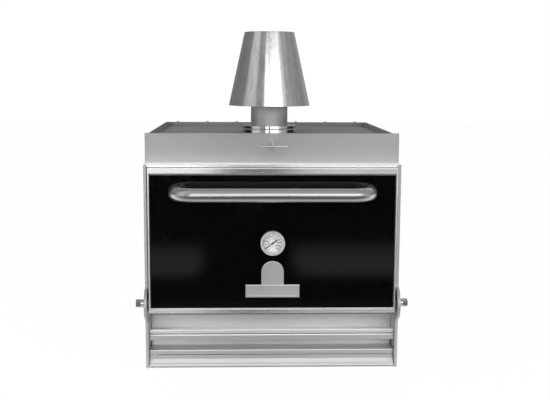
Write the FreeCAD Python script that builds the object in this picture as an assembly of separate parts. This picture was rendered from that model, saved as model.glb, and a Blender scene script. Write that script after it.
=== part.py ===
import FreeCAD, Part
import math
import os

from FreeCAD import Vector

# Counter-top charcoal oven with a drop-down door, an ash drawer, a draught drawer and a flue with a gate.
# Millimetres, +Z up, the door faces -Y. The origin is at the middle of the footprint's box, on the counter.

# Body casing
BODY_WIDTH = 800.0
BODY_DEPTH = 852.0
BODY_HEIGHT = 652.0
SHEET = 2.0
BEND_RADIUS = 1.5
SEAT_GAP = 0.3
CHEEK_THICKNESS = 9.0
CHEEK_DEPTH = 95.0
PANEL_FLANGE = 18.0
RAIL_LIP = 9.0
RAIL_DEPTH = 80.0
BASE_RIM = 6.0

# Hood and roof
HOOD_SETBACK = 54.0
FASCIA_HEIGHT = 92.0
FASCIA_HEM = 14.0
FASCIA_BEND = 0.5
ROOF_STEP = 7.0
ROOF_RIM = 15.0
ROOF_DROP = 15.0

# Flue, collar and hat
FLUE_BACK = 399.0
FLUE_DIAMETER = 130.0
FLUE_WALL = 2.0
FLUE_ABOVE_RIM = 146.0
COLLAR_DIAMETER = 194.0
COLLAR_RISE = 11.0
COLLAR_GROOVE = 1.2
HAT_BOTTOM_DIAMETER = 287.0
HAT_TOP_DIAMETER = 175.0
HAT_HEIGHT = 256.0
HAT_LIFT = 81.0
HAT_WALL = 1.5
BRACKET_COUNT = 3
BRACKET_THICKNESS = 3.0
BRACKET_FOOT = 12.0
BRACKET_HEIGHT = 78.0
BRACKET_REACH_IN = 16.0
BAFFLE_DIAMETER = 150.0
BAFFLE_RISE = 24.0
BAFFLE_FLAT = 26.0

# Damper gate, its pull rod and cross bar
ROD_BELOW_FASCIA_TOP = 34.0
ROD_DIAMETER = 8.0
ROD_CLEARANCE = 0.06
ROD_STANDOFF = 100.0
BAR_DIAMETER = 6.0
BAR_LENGTH = 87.0
BAR_TILT = 3.0
BUSH_FLANGE_DIAMETER = 18.0
BUSH_FLANGE_THICKNESS = 4.0
BUSH_DIAMETER = 14.0
BUSH_TAIL = 12.0
GATE_THICKNESS = 3.0
GATE_WIDTH = 140.0
GATE_LENGTH = 164.0
GATE_PLAY = 0.5
GATE_COVER = 44.0
GATE_LIP_HEIGHT = 18.0
GATE_LIP_WIDTH = 30.0
HOUSING_LENGTH = 160.0
ROD_ABOVE_GATE = 8.0

# Cooking chamber
CHAMBER_WIDTH = 680.0
BACK_SPACE = 56.0
TOP_SPACE = 36.0
CHAMBER_FLOOR = 112.0
LINER = 4.0
FIREBOX_FRONT = 112.0
ASH_OPENING_WIDTH = 440.0
ASH_OPENING_FRONT = 190.0
ASH_OPENING_END_GAP = 126.0
FACE_FRAME_FRONT = 60.0
FACE_FRAME_THICKNESS = 6.0
FACE_FRAME_BOTTOM = 222.0
MOUTH_WIDTH = 650.0
MOUTH_SILL = 248.0
MOUTH_BELOW_TOP = 48.0
MOUTH_CORNER = 12.0
GASKET_WIDTH = 10.0
GASKET_INSET = 2.0
GASKET_EDGE = 2.0
BOARD_GAP = 1.0
TOP_BOARD_GAP = 4.0

# Fire grate, rack rails and grill racks
GRATE_HEIGHT = 150.0
GRATE_THICKNESS = 14.0
GRATE_END_GAP = 30.0
GRATE_SIDE_GAP = 5.0
GRATE_RIM = 30.0
GRATE_SLOT = 12.0
GRATE_PITCH = 28.0
GRATE_RIB = 24.0
ANGLE_LEG = 20.0
ANGLE_SHEET = 3.0
RAIL_END_GAP = 44.0
RAIL_HEIGHTS = (300.0, 390.0, 480.0)
RACK_LEVELS = (0, 1)
RACK_FRONT = 112.0
RACK_END_GAP = 64.0
RACK_SIDE_GAP = 4.0
RACK_FRAME = 10.0
RACK_BAR = 8.0
RACK_PITCH = 24.0
RACK_CROSS_COUNT = 3

# Shelf under the door and the two drawers
RECESS_DEPTH = 92.5
SHELF_HEIGHT = 108.0
DRAWER_SETBACK = 20.0
DRAWER_GAP = 2.0
ASH_LIP_BOTTOM = 86.0
ASH_SHELF = 53.5
ASH_BOTTOM = 38.5
ASH_GRIP_DEPTH = 60.0
ASH_TRAY_OVERLAP = 12.0
ASH_TRAY_DEPTH = 56.0
TRAY_WIDTH = 740.0
AIR_BOTTOM = 1.0
AIR_LIP_TOP = 7.0
AIR_SLOPE_TOP = 24.0
AIR_RETURN = 36.0
AIR_TRAY_LENGTH = 300.0
AIR_TRAY_DEPTH = 28.0
RUNNER_WIDTH = 22.0
RUNNER_LEG = 30.0
RUNNER_SPARE = 55.0

# Door
DOOR_SIDE_GAP = 4.0
DOOR_TOP_GAP = 1.5
DOOR_BOTTOM = 183.0
DOOR_PROUD = 20.0
DOOR_DEPTH = 72.0
DOOR_WALL = 2.5
DOOR_EDGE_RADIUS = 2.0
DOOR_RELIEF = 1.8
RELIEF_START = 20.0
BORDER_SIDE = 8.0
BORDER_TOP = 22.5
BORDER_BOTTOM = 16.5
BEVEL_SIDE = 3.0
BEVEL_TOP = 6.0
BEVEL_BOTTOM = 3.5
PANEL_INSET = 8.0
PANEL_THICKNESS = 3.0
DOOR_LINER = 3.0
DOOR_LINER_FLANGE = 14.0

# Pivot
PIVOT_HEIGHT = 210.0
PIVOT_BACK = 6.0
LOBE_RADIUS = 52.0
LOBE_FILLET = 10.0
BOLT_DIAMETER = 16.0
BOLT_CLEARANCE = 0.05
BOLT_REACH = 38.0
HEAD_ACROSS_FLATS = 24.0
HEAD_HEIGHT = 15.0
BOLT_COLLAR_DIAMETER = 26.0
BOLT_COLLAR = 10.0
WASHER_DIAMETER = 34.0
WASHER_THICKNESS = 4.0
PIVOT_BUSH_DIAMETER = 26.0
PIVOT_BUSH_FLANGE = 36.0

# Handle
HANDLE_WIDTH = 640.0
HANDLE_DIAMETER = 42.4
HANDLE_WALL = 2.0
HANDLE_STANDOFF = 83.0
HANDLE_BELOW_DOOR_TOP = 74.5
HANDLE_BEND = 58.0
ROSETTE_DIAMETER = 50.0
ROSETTE_THICKNESS = 6.0
ROSETTE_EDGE = 2.0

# Thermometer, nameplate and badge
DIAL_GAP = 19.7
CASE_DIAMETER = 76.0
CASE_DEPTH = 15.0
CASE_WALL = 3.0
BEZEL_WIDTH = 6.5
BEZEL_DEPTH = 2.5
BEZEL_EDGE = 1.2
DIAL_THICKNESS = 1.0
LENS_THICKNESS = 2.0
STEM_DIAMETER = 8.0
STEM_REACH = 36.0
POINTER_LENGTH = 29.0
POINTER_TAIL = 16.0
POINTER_TIP_WIDTH = 1.2
POINTER_ROOT_WIDTH = 2.8
POINTER_TAIL_WIDTH = 4.0
POINTER_THICKNESS = 0.8
POINTER_LIFT = 2.5
POINTER_HUB = 6.0
POINTER_SHAFT = 2.4
POINTER_CLEARANCE = 0.08
POINTER_ANGLE = 218.0
PLATE_WIDTH = 170.0
PLATE_HEIGHT = 40.5
PLATE_BOTTOM = 233.5
PLATE_THICKNESS = 4.0
PLATE_BEVEL = 2.0
PLATE_RIM = 4.0
PLATE_RECESS = 0.8
BADGE_WIDTH = 71.0
BADGE_HEIGHT = 75.0
BADGE_THICKNESS = 3.0
BADGE_BEVEL = 1.5

# Places that follow from the sizes above
half = BODY_WIDTH / 2
cheek_inner = half - CHEEK_THICKNESS
handle_reach = DOOR_PROUD - PANEL_INSET + HANDLE_STANDOFF + HANDLE_DIAMETER / 2
front = -(BODY_DEPTH - handle_reach) / 2
back = front + BODY_DEPTH
cheek_back = front + CHEEK_DEPTH
fascia_front = front + HOOD_SETBACK
fascia_top = BODY_HEIGHT + FASCIA_HEIGHT
rim_top = fascia_top - ROOF_STEP
roof_top = rim_top - ROOF_DROP
flue_y = back - FLUE_BACK
flue_radius = FLUE_DIAMETER / 2
flue_bore = flue_radius - FLUE_WALL
door_half = cheek_inner - DOOR_SIDE_GAP
door_front = front - DOOR_PROUD
door_back = door_front + DOOR_DEPTH
door_top = BODY_HEIGHT - RAIL_LIP - DOOR_TOP_GAP
panel_front = door_front + PANEL_INSET
panel_back = panel_front + PANEL_THICKNESS
pivot_y = front + PIVOT_BACK
frame_front = front + FACE_FRAME_FRONT
frame_back = frame_front + FACE_FRAME_THICKNESS
chamber_half = CHAMBER_WIDTH / 2
chamber_back = back - BACK_SPACE
chamber_top = BODY_HEIGHT - TOP_SPACE
mouth_top = BODY_HEIGHT - MOUTH_BELOW_TOP
handle_z = door_top - HANDLE_BELOW_DOOR_TOP
plate_top = PLATE_BOTTOM + PLATE_HEIGHT
badge_bottom = plate_top + SEAT_GAP
badge_top = badge_bottom + BADGE_HEIGHT
dial_z = badge_top + DIAL_GAP + CASE_DIAMETER / 2
recess_y = front + RECESS_DEPTH
drawer_front = front + DRAWER_SETBACK
base_front = front + AIR_RETURN + DRAWER_GAP
rod_z = fascia_top - ROD_BELOW_FASCIA_TOP
gate_bottom = rod_z - ROD_ABOVE_GATE - GATE_THICKNESS
housing_bottom = gate_bottom - GATE_PLAY - SHEET
housing_top = gate_bottom + GATE_THICKNESS + GATE_PLAY + SHEET
gate_back = flue_y - flue_bore + GATE_COVER
gate_front = gate_back - GATE_LENGTH
shell_half = half - PANEL_FLANGE - BOARD_GAP


def block(x0, x1, y0, y1, z0, z1):
    return Part.makeBox(x1 - x0, y1 - y0, z1 - z0, Vector(x0, y0, z0))


def both_sides(shape):
    """The right-hand piece and its mirror image on the left."""
    return shape, shape.mirror(Vector(0, 0, 0), Vector(1, 0, 0))


def upright(radius, z0, z1, x=0.0, y=0.0):
    return Part.makeCylinder(radius, z1 - z0, Vector(x, y, z0))


def crosswise(radius, x0, x1, y, z):
    return Part.makeCylinder(radius, x1 - x0, Vector(x0, y, z), Vector(1, 0, 0))


def endways(radius, y0, y1, x, z):
    return Part.makeCylinder(radius, y1 - y0, Vector(x, y0, z), Vector(0, 1, 0))


def faces_at(shape, axis, value):
    """The flat faces of a shape that lie at one value of x, y or z."""
    return [face for face in shape.Faces if abs(getattr(face.CenterOfMass, axis) - value) < 1e-6]


def pan(outer, wall, *open_sides):
    """A block hollowed to a sheet pan, open on the sides given as (axis, value)."""
    opened = [face for axis, value in open_sides for face in faces_at(outer, axis, value)]
    return outer.makeThickness(opened, -wall, 1e-3)


def rounded(solid, radius, direction):
    """A block with the four edges along one direction rounded."""
    edges = [
        edge for edge in solid.Edges
        if edge.tangentAt(edge.FirstParameter).cross(direction).Length < 1e-6
    ]
    return solid.makeFillet(radius, edges)


def place_point(axis, a, b, along=0.0):
    """A point of a profile: (y, z) for a run along x, (x, z) along y and (x, y) along z."""
    if axis == "x":
        return Vector(along, a, b)
    if axis == "y":
        return Vector(a, along, b)
    return Vector(a, b, along)


def turn_at(before, corner, after):
    """Unit directions into and out of a corner, and the signed turn, positive to the left."""
    into = (corner - before).normalize()
    out = (after - corner).normalize()
    turn = math.atan2(into.x * out.y - into.y * out.x, into.dot(out))
    return into, out, turn


def bent_edges(points, radii):
    """Lines through flat points with a tangent arc of its own radius at each inner point."""
    edges = []
    start = points[0]
    for corner, after, radius in zip(points[1:-1], points[2:], radii):
        into, out, turn = turn_at(start, corner, after)
        reach = radius * math.tan(abs(turn) / 2)
        arc_start = corner - into * reach
        arc_end = corner + out * reach
        bisector = (out - into).normalize()
        middle = corner + bisector * (radius / math.cos(turn / 2) - radius)
        edges.append((start, arc_start))
        edges.append((arc_start, middle, arc_end))
        start = arc_end
    edges.append((start, points[-1]))
    return edges


def folded_sheet(axis, points, along0, along1, thickness=SHEET, bend=BEND_RADIUS):
    """A sheet folded along the points, its thickness to their right, drawn out along an axis."""
    path = [Vector(a, b, 0) for a, b in points]
    directions = [(q - p).normalize() for p, q in zip(path[:-1], path[1:])]
    rights = [Vector(d.y, -d.x, 0) for d in directions]
    turns = [turn_at(p, q, r)[2] for p, q, r in zip(path[:-2], path[1:-1], path[2:])]
    far = [path[0] + rights[0] * thickness]
    for corner, right, after, turn in zip(path[1:-1], rights[:-1], rights[1:], turns):
        far.append(corner + (right + after).normalize() * (thickness / math.cos(turn / 2)))
    far.append(path[-1] + rights[-1] * thickness)
    near_radii = [bend if turn > 0 else bend + thickness for turn in turns]
    far_radii = [bend + thickness if turn > 0 else bend for turn in turns]
    outline = bent_edges(path, near_radii)
    outline.append((path[-1], far[-1]))
    outline += bent_edges(far[::-1], far_radii[::-1])
    outline.append((far[0], path[0]))
    edges = []
    for ends in outline:
        placed = [place_point(axis, p.x, p.y, along0) for p in ends]
        curve = Part.LineSegment(*placed) if len(placed) == 2 else Part.Arc(*placed)
        edges.append(curve.toShape())
    face = Part.Face(Part.Wire(edges))
    return face.extrude(place_point(axis, 0, 0, along1 - along0))


def prism(axis, points, along0, along1):
    """A closed outline drawn out along an axis."""
    placed = [place_point(axis, a, b, along0) for a, b in points]
    face = Part.Face(Part.makePolygon(placed + placed[:1]))
    return face.extrude(place_point(axis, 0, 0, along1 - along0))


def turned_upright(points, y):
    """A closed outline of (radius, height) turned about a vertical axis."""
    placed = [Vector(radius, y, height) for radius, height in points]
    face = Part.Face(Part.makePolygon(placed + placed[:1]))
    return face.revolve(Vector(0, y, 0), Vector(0, 0, 1), 360)


def turned_endways(points, x, z, base_y):
    """A closed outline of (radius, distance ahead of base_y) turned about an axis along y."""
    placed = [Vector(x + radius, base_y - ahead, z) for radius, ahead in points]
    face = Part.Face(Part.makePolygon(placed + placed[:1]))
    return face.revolve(Vector(x, base_y, z), Vector(0, 1, 0), 360)


parts = {}

# Side cheeks: thick plates beside the door, each with a round lobe that carries the door's pivot
cheek_top = BODY_HEIGHT - SHEET
lobe_rise = math.sqrt(LOBE_RADIUS ** 2 - PIVOT_BACK ** 2)
lobe_start = Vector(cheek_inner, front, PIVOT_HEIGHT + lobe_rise)
lobe_nose = Vector(cheek_inner, pivot_y - LOBE_RADIUS, PIVOT_HEIGHT)
lobe_end = Vector(cheek_inner, front, PIVOT_HEIGHT - lobe_rise)
cheek_corners = [
    lobe_end,
    Vector(cheek_inner, front, 0),
    Vector(cheek_inner, cheek_back, 0),
    Vector(cheek_inner, cheek_back, cheek_top),
    Vector(cheek_inner, front, cheek_top),
    lobe_start,
]
cheek_edges = Part.makePolygon(cheek_corners).Edges
cheek_edges.append(Part.Arc(lobe_start, lobe_nose, lobe_end).toShape())
cheek = Part.Face(Part.Wire(cheek_edges)).extrude(Vector(CHEEK_THICKNESS, 0, 0))
lobe_roots = [
    edge for edge in cheek.Edges
    if edge.BoundBox.XLength > CHEEK_THICKNESS / 2
    and abs(edge.CenterOfMass.y - front) < 1e-6
    and abs(abs(edge.CenterOfMass.z - PIVOT_HEIGHT) - lobe_rise) < 1e-6
]
cheek = cheek.makeFillet(LOBE_FILLET, lobe_roots)
bolt_radius = BOLT_DIAMETER / 2
cheek = cheek.cut(crosswise(bolt_radius + BOLT_CLEARANCE, cheek_inner, half, pivot_y, PIVOT_HEIGHT))
parts["cheek_right"], parts["cheek_left"] = both_sides(cheek)

# Side panels: sheet pans with flanges folded in at the front, the top and the back
panel_back_y = back - SHEET
side = block(half - PANEL_FLANGE, half, cheek_back, panel_back_y, 0, BODY_HEIGHT)
side = pan(side, SHEET, ("x", half - PANEL_FLANGE), ("z", 0))
parts["side_panel_right"], parts["side_panel_left"] = both_sides(side)

# Back panel and base pan
parts["back_panel"] = block(-half, half, panel_back_y, back, 0, BODY_HEIGHT)
base_half = half - PANEL_FLANGE - SEAT_GAP
base = block(-base_half, base_half, base_front, panel_back_y, 0, BASE_RIM)
parts["base_pan"] = pan(base, SHEET, ("z", BASE_RIM))

# Front rail over the door: its lip hangs between the cheeks and its top runs back under the hood
rail_points = [
    (front, BODY_HEIGHT - RAIL_LIP),
    (front, BODY_HEIGHT),
    (front + RAIL_DEPTH, BODY_HEIGHT),
]
rail = folded_sheet("x", rail_points, -half, half)
for end in both_sides(block(cheek_inner - SEAT_GAP, half, front, cheek_back, 0, cheek_top)):
    rail = rail.cut(end)
side_flanges = both_sides(block(half - PANEL_FLANGE, half, cheek_back, back, 0, BODY_HEIGHT))
for end in side_flanges:
    rail = rail.cut(end)
parts["top_rail"] = rail

# Face frame round the chamber's mouth, and the fibre gasket that the door closes on
frame_half = cheek_inner - SEAT_GAP
frame_plate = block(-frame_half, frame_half, frame_front, frame_back, FACE_FRAME_BOTTOM, cheek_top)
mouth_half = MOUTH_WIDTH / 2
mouth = block(-mouth_half, mouth_half, frame_front, frame_back, MOUTH_SILL, mouth_top)
parts["face_frame"] = frame_plate.cut(rounded(mouth, MOUTH_CORNER, Vector(0, 1, 0)))


def mouth_ring(offset, radius):
    """A block round the mouth, from the door's back to the face frame."""
    ring = block(
        -mouth_half - offset, mouth_half + offset, door_back + SEAT_GAP, frame_front,
        MOUTH_SILL - offset, mouth_top + offset,
    )
    return rounded(ring, radius, Vector(0, 1, 0))


gasket_outer = GASKET_INSET + GASKET_WIDTH
gasket = mouth_ring(gasket_outer, MOUTH_CORNER + gasket_outer)
gasket = gasket.cut(mouth_ring(GASKET_INSET, MOUTH_CORNER + GASKET_INSET))
gasket_edges = [edge for edge in gasket.Edges if abs(edge.BoundBox.YMax - door_back - SEAT_GAP) < 1e-6]
parts["door_gasket"] = gasket.makeFillet(GASKET_EDGE, gasket_edges)

# Shelf under the door: one sheet folded from the face frame's foot down to the ledge above the drawer
shelf_points = [
    (frame_front, FACE_FRAME_BOTTOM),
    (recess_y + SHEET, FACE_FRAME_BOTTOM),
    (recess_y + SHEET, SHELF_HEIGHT - SHEET),
    (drawer_front, SHELF_HEIGHT - SHEET),
]
shelf = folded_sheet("x", shelf_points, -frame_half, frame_half)
for end in side_flanges:
    shelf = shelf.cut(end)
parts["ember_shelf"] = shelf

# Hood: a fascia with a hemmed top edge, a wrap round the sides and back, and a sunken roof tray
fascia_points = [
    (fascia_front, BODY_HEIGHT),
    (fascia_front, fascia_top),
    (fascia_front + FASCIA_HEM, fascia_top),
    (fascia_front + FASCIA_HEM, rim_top + SEAT_GAP),
]
fascia = folded_sheet("x", fascia_points, -half, half, bend=FASCIA_BEND)
bush_radius = BUSH_DIAMETER / 2
fascia = fascia.cut(endways(bush_radius, fascia_front, fascia_front + SHEET, 0, rod_z))
parts["hood_fascia"] = fascia
hood_front = fascia_front + SHEET
wrap_points = [(-half, hood_front), (-half, back), (half, back), (half, hood_front)]
parts["hood_wrap"] = folded_sheet("z", wrap_points, BODY_HEIGHT, rim_top - SHEET)
tray_half = half - ROOF_RIM
tray_front = hood_front + ROOF_RIM
tray_back = back - ROOF_RIM
tray = block(-tray_half, tray_half, tray_front, tray_back, roof_top - SHEET, rim_top)
rim = block(-half, half, hood_front, back, rim_top - SHEET, rim_top).cut(tray)
roof = pan(tray, SHEET, ("z", rim_top)).fuse(rim).removeSplitter()
roof = roof.cut(upright(flue_radius + SEAT_GAP, roof_top - SHEET, roof_top, 0, flue_y))
parts["roof_tray"] = roof

# Flue: throat from the chamber's top, gate housing, pipe, and the polished collar round its foot
liner_top = chamber_top + LINER
throat = upright(flue_radius, liner_top, housing_bottom, 0, flue_y)
parts["flue_throat"] = throat.cut(upright(flue_bore, liner_top, housing_bottom, 0, flue_y))
pipe_top = rim_top + FLUE_ABOVE_RIM
pipe = upright(flue_radius, housing_top, pipe_top, 0, flue_y)
parts["flue_pipe"] = pipe.cut(upright(flue_bore, housing_top, pipe_top, 0, flue_y))
collar_radius = COLLAR_DIAMETER / 2
collar_top = rim_top + COLLAR_RISE
collar_hole = flue_radius + SEAT_GAP
collar_points = [
    (collar_hole, collar_top - SHEET),
    (collar_radius - SHEET, collar_top - SHEET),
    (collar_radius - SHEET, roof_top),
    (collar_radius, roof_top),
    (collar_radius, rim_top - COLLAR_GROOVE),
    (collar_radius - COLLAR_GROOVE, rim_top),
    (collar_radius, rim_top + COLLAR_GROOVE),
    (collar_radius, collar_top - COLLAR_GROOVE),
    (collar_radius - COLLAR_GROOVE, collar_top),
    (collar_hole, collar_top),
]
parts["flue_collar"] = turned_upright(collar_points, flue_y)

# Gate housing: a flat sleeve across the flue in which the gate slides
housing_half = GATE_WIDTH / 2 + GATE_PLAY + SHEET
housing_front = flue_y - HOUSING_LENGTH / 2
housing_back = flue_y + HOUSING_LENGTH / 2
housing = block(-housing_half, housing_half, housing_front, housing_back, housing_bottom, housing_top)
housing = pan(housing, SHEET, ("y", housing_front), ("y", housing_back))
parts["damper_housing"] = housing.cut(upright(flue_bore, housing_bottom, housing_top, 0, flue_y))

# Gate with its turned-up lip, and the pull: a rod through the fascia with a cross bar on its end
gate_half = GATE_WIDTH / 2
gate = block(-gate_half, gate_half, gate_front, gate_back, gate_bottom, gate_bottom + GATE_THICKNESS)
lip_half = GATE_LIP_WIDTH / 2
lip_back = gate_front + GATE_THICKNESS
gate_lip = block(-lip_half, lip_half, gate_front, lip_back, gate_bottom, gate_bottom + GATE_LIP_HEIGHT)
parts["damper_gate"] = gate.fuse(gate_lip).removeSplitter()
rod_radius = ROD_DIAMETER / 2
bar_y = fascia_front - ROD_STANDOFF
pull_rod = endways(rod_radius, bar_y, gate_front, 0, rod_z)
bar_half = BAR_LENGTH / 2
cross_bar = crosswise(BAR_DIAMETER / 2, -bar_half, bar_half, bar_y, rod_z)
cross_bar.rotate(Vector(0, bar_y, rod_z), Vector(0, -1, 0), BAR_TILT)
parts["damper_pull"] = pull_rod.fuse(cross_bar).removeSplitter()
bush_points = [
    (rod_radius + ROD_CLEARANCE, BUSH_FLANGE_THICKNESS),
    (BUSH_FLANGE_DIAMETER / 2, BUSH_FLANGE_THICKNESS),
    (BUSH_FLANGE_DIAMETER / 2, 0),
    (bush_radius, 0),
    (bush_radius, -BUSH_TAIL),
    (rod_radius + ROD_CLEARANCE, -BUSH_TAIL),
]
parts["rod_bush"] = turned_endways(bush_points, 0, rod_z, fascia_front)

# Hat: an open cone on three brackets, with a dished baffle over the pipe that stops sparks
hat_bottom = rim_top + HAT_LIFT
hat_top = hat_bottom + HAT_HEIGHT
hat_foot_radius = HAT_BOTTOM_DIAMETER / 2
hat_head_radius = HAT_TOP_DIAMETER / 2
hat_points = [
    (hat_foot_radius - HAT_WALL, hat_bottom),
    (hat_foot_radius, hat_bottom),
    (hat_head_radius, hat_top),
    (hat_head_radius - HAT_WALL, hat_top),
]
parts["hat_cone"] = turned_upright(hat_points, flue_y)
hat_taper = (hat_foot_radius - hat_head_radius) / HAT_HEIGHT
bracket_bottom = hat_bottom + BRACKET_FOOT
bracket_top = bracket_bottom + BRACKET_HEIGHT
bracket_in = flue_radius + SEAT_GAP
bracket_tip = flue_radius - BRACKET_REACH_IN


def hat_inside(height):
    """How far a bracket reaches to the hat's inner wall at a height."""
    return hat_foot_radius - HAT_WALL - SEAT_GAP - hat_taper * (height - hat_bottom)


bracket_points = [
    (bracket_in, bracket_bottom),
    (hat_inside(bracket_bottom), bracket_bottom),
    (hat_inside(bracket_top), bracket_top),
    (bracket_tip, bracket_top),
    (bracket_tip, pipe_top + SEAT_GAP),
    (bracket_in, pipe_top + SEAT_GAP),
]
bracket = prism("y", bracket_points, -BRACKET_THICKNESS / 2, BRACKET_THICKNESS / 2)
brackets = []
for index in range(BRACKET_COUNT):
    turned = bracket.copy()
    turned.rotate(Vector(0, 0, 0), Vector(0, 0, 1), 90 + index * 360 / BRACKET_COUNT)
    turned.translate(Vector(0, flue_y, 0))
    brackets.append(turned)
parts["hat_brackets"] = Part.makeCompound(brackets)
baffle_radius = BAFFLE_DIAMETER / 2
dish_radius = baffle_radius - BAFFLE_FLAT
baffle_points = [
    (0, bracket_top + BAFFLE_RISE),
    (dish_radius, bracket_top),
    (baffle_radius, bracket_top),
    (baffle_radius, bracket_top + SHEET),
    (dish_radius, bracket_top + SHEET),
    (0, bracket_top + BAFFLE_RISE + SHEET),
]
parts["spark_baffle"] = turned_upright(baffle_points, flue_y)

# Chamber liner, in plates: sides, back, top with the flue's hole, floor with the ash opening, firebox front
liner_floor = CHAMBER_FLOOR - LINER
firebox_front = front + FIREBOX_FRONT
liner_points = [
    (firebox_front, CHAMBER_FLOOR),
    (chamber_back, CHAMBER_FLOOR),
    (chamber_back, chamber_top),
    (frame_back, chamber_top),
    (frame_back, FACE_FRAME_BOTTOM),
    (firebox_front, FACE_FRAME_BOTTOM),
]
liner_side = prism("x", liner_points, chamber_half, chamber_half + LINER)
parts["liner_right"], parts["liner_left"] = both_sides(liner_side)
liner_half = chamber_half + LINER
parts["liner_back"] = block(
    -liner_half, liner_half, chamber_back, chamber_back + LINER, CHAMBER_FLOOR, chamber_top,
)
chamber_lid = block(-liner_half, liner_half, frame_back, chamber_back + LINER, chamber_top, liner_top)
parts["liner_top"] = chamber_lid.cut(upright(flue_bore, chamber_top, liner_top, 0, flue_y))
floor = block(-liner_half, liner_half, firebox_front, chamber_back + LINER, liner_floor, CHAMBER_FLOOR)
ash_half = ASH_OPENING_WIDTH / 2
ash_front = front + ASH_OPENING_FRONT
ash_back = chamber_back - ASH_OPENING_END_GAP
parts["liner_floor"] = floor.cut(block(-ash_half, ash_half, ash_front, ash_back, liner_floor, CHAMBER_FLOOR))
parts["liner_front"] = block(
    -chamber_half, chamber_half, firebox_front, firebox_front + LINER, CHAMBER_FLOOR, FACE_FRAME_BOTTOM,
)

# Fibre boards between the liner and the casing
board_top = BODY_HEIGHT - SHEET - BOARD_GAP
side_board = block(
    liner_half, shell_half, firebox_front + LINER, chamber_back + LINER, CHAMBER_FLOOR, board_top,
)
parts["insulation_right"], parts["insulation_left"] = both_sides(side_board)
back_board_back = panel_back_y - SHEET - BOARD_GAP
parts["insulation_back"] = block(
    -shell_half, shell_half, chamber_back + LINER, back_board_back, CHAMBER_FLOOR, board_top,
)
top_board = block(
    -liner_half, liner_half, front + RAIL_DEPTH + BOARD_GAP, chamber_back + LINER,
    liner_top, housing_bottom - TOP_BOARD_GAP,
)
parts["insulation_top"] = top_board.cut(
    upright(flue_radius + SEAT_GAP, liner_top, housing_bottom, 0, flue_y)
)

# Fire grate of cast iron on two ledges
grate_front = firebox_front + LINER + GRATE_END_GAP
grate_back = chamber_back - GRATE_END_GAP
grate_mid = (grate_front + grate_back) / 2


def wall_angle(height, y0, y1):
    """An angle bar on the right wall whose shelf is at a height, its foot turned down the wall."""
    points = [
        (chamber_half - ANGLE_LEG, height),
        (chamber_half, height),
        (chamber_half, height - ANGLE_LEG),
    ]
    return folded_sheet("y", points, y0, y1, ANGLE_SHEET)


ledges = both_sides(wall_angle(GRATE_HEIGHT, grate_front, grate_back))
parts["grate_ledges"] = Part.makeCompound(list(ledges))
grate_half = chamber_half - GRATE_SIDE_GAP
grate_top = GRATE_HEIGHT + GRATE_THICKNESS
grate = block(-grate_half, grate_half, grate_front, grate_back, GRATE_HEIGHT, grate_top)
slot_count = int((2 * grate_half - 2 * GRATE_RIM - GRATE_SLOT) // GRATE_PITCH) + 1
slot_first = -(slot_count - 1) * GRATE_PITCH / 2
slot_rows = [
    (grate_front + GRATE_RIM, grate_mid - GRATE_RIB / 2),
    (grate_mid + GRATE_RIB / 2, grate_back - GRATE_RIM),
]
slots = []
for index in range(slot_count):
    slot_x = slot_first + index * GRATE_PITCH
    for y0, y1 in slot_rows:
        slots.append(block(slot_x - GRATE_SLOT / 2, slot_x + GRATE_SLOT / 2, y0, y1, GRATE_HEIGHT, grate_top))
parts["charcoal_grate"] = grate.cut(Part.makeCompound(slots))

# Rack rails on both walls, and the grill racks that stand on them
rack_front = front + RACK_FRONT
rack_back = chamber_back - RACK_END_GAP
rack_pitch = (rack_back - rack_front) / RACK_CROSS_COUNT
rail_back = chamber_back - RAIL_END_GAP
rails = [wall_angle(height, rack_front, rail_back) for height in RAIL_HEIGHTS]
parts["rack_rails_right"], parts["rack_rails_left"] = both_sides(Part.makeCompound(rails))


def grill_rack(height):
    """A rack of square frame bars with round bars let into their tops, standing at a height."""
    rack_half = chamber_half - RACK_SIDE_GAP
    frame_top = height + RACK_FRAME
    outer = block(-rack_half, rack_half, rack_front, rack_back, height, frame_top)
    inner = block(
        -rack_half + RACK_FRAME, rack_half - RACK_FRAME, rack_front + RACK_FRAME, rack_back - RACK_FRAME,
        height, frame_top,
    )
    pieces = []
    for index in range(1, RACK_CROSS_COUNT):
        cross_y = rack_front + index * rack_pitch
        pieces.append(block(
            -rack_half + RACK_FRAME / 2, rack_half - RACK_FRAME / 2,
            cross_y - RACK_FRAME / 2, cross_y + RACK_FRAME / 2, height, frame_top - RACK_BAR / 2,
        ))
    bar_count = int((2 * rack_half - 2 * RACK_FRAME - RACK_BAR) // RACK_PITCH)
    first = -(bar_count - 1) * RACK_PITCH / 2
    bar_z = frame_top - RACK_BAR / 2
    for index in range(bar_count):
        bar_x = first + index * RACK_PITCH
        inset = RACK_FRAME / 2
        pieces.append(endways(RACK_BAR / 2, rack_front + inset, rack_back - inset, bar_x, bar_z))
    return outer.cut(inner).fuse(pieces).removeSplitter()


for name, level in zip(("grill_rack_lower", "grill_rack_upper"), RACK_LEVELS):
    parts[name] = grill_rack(RAIL_HEIGHTS[level])

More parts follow.
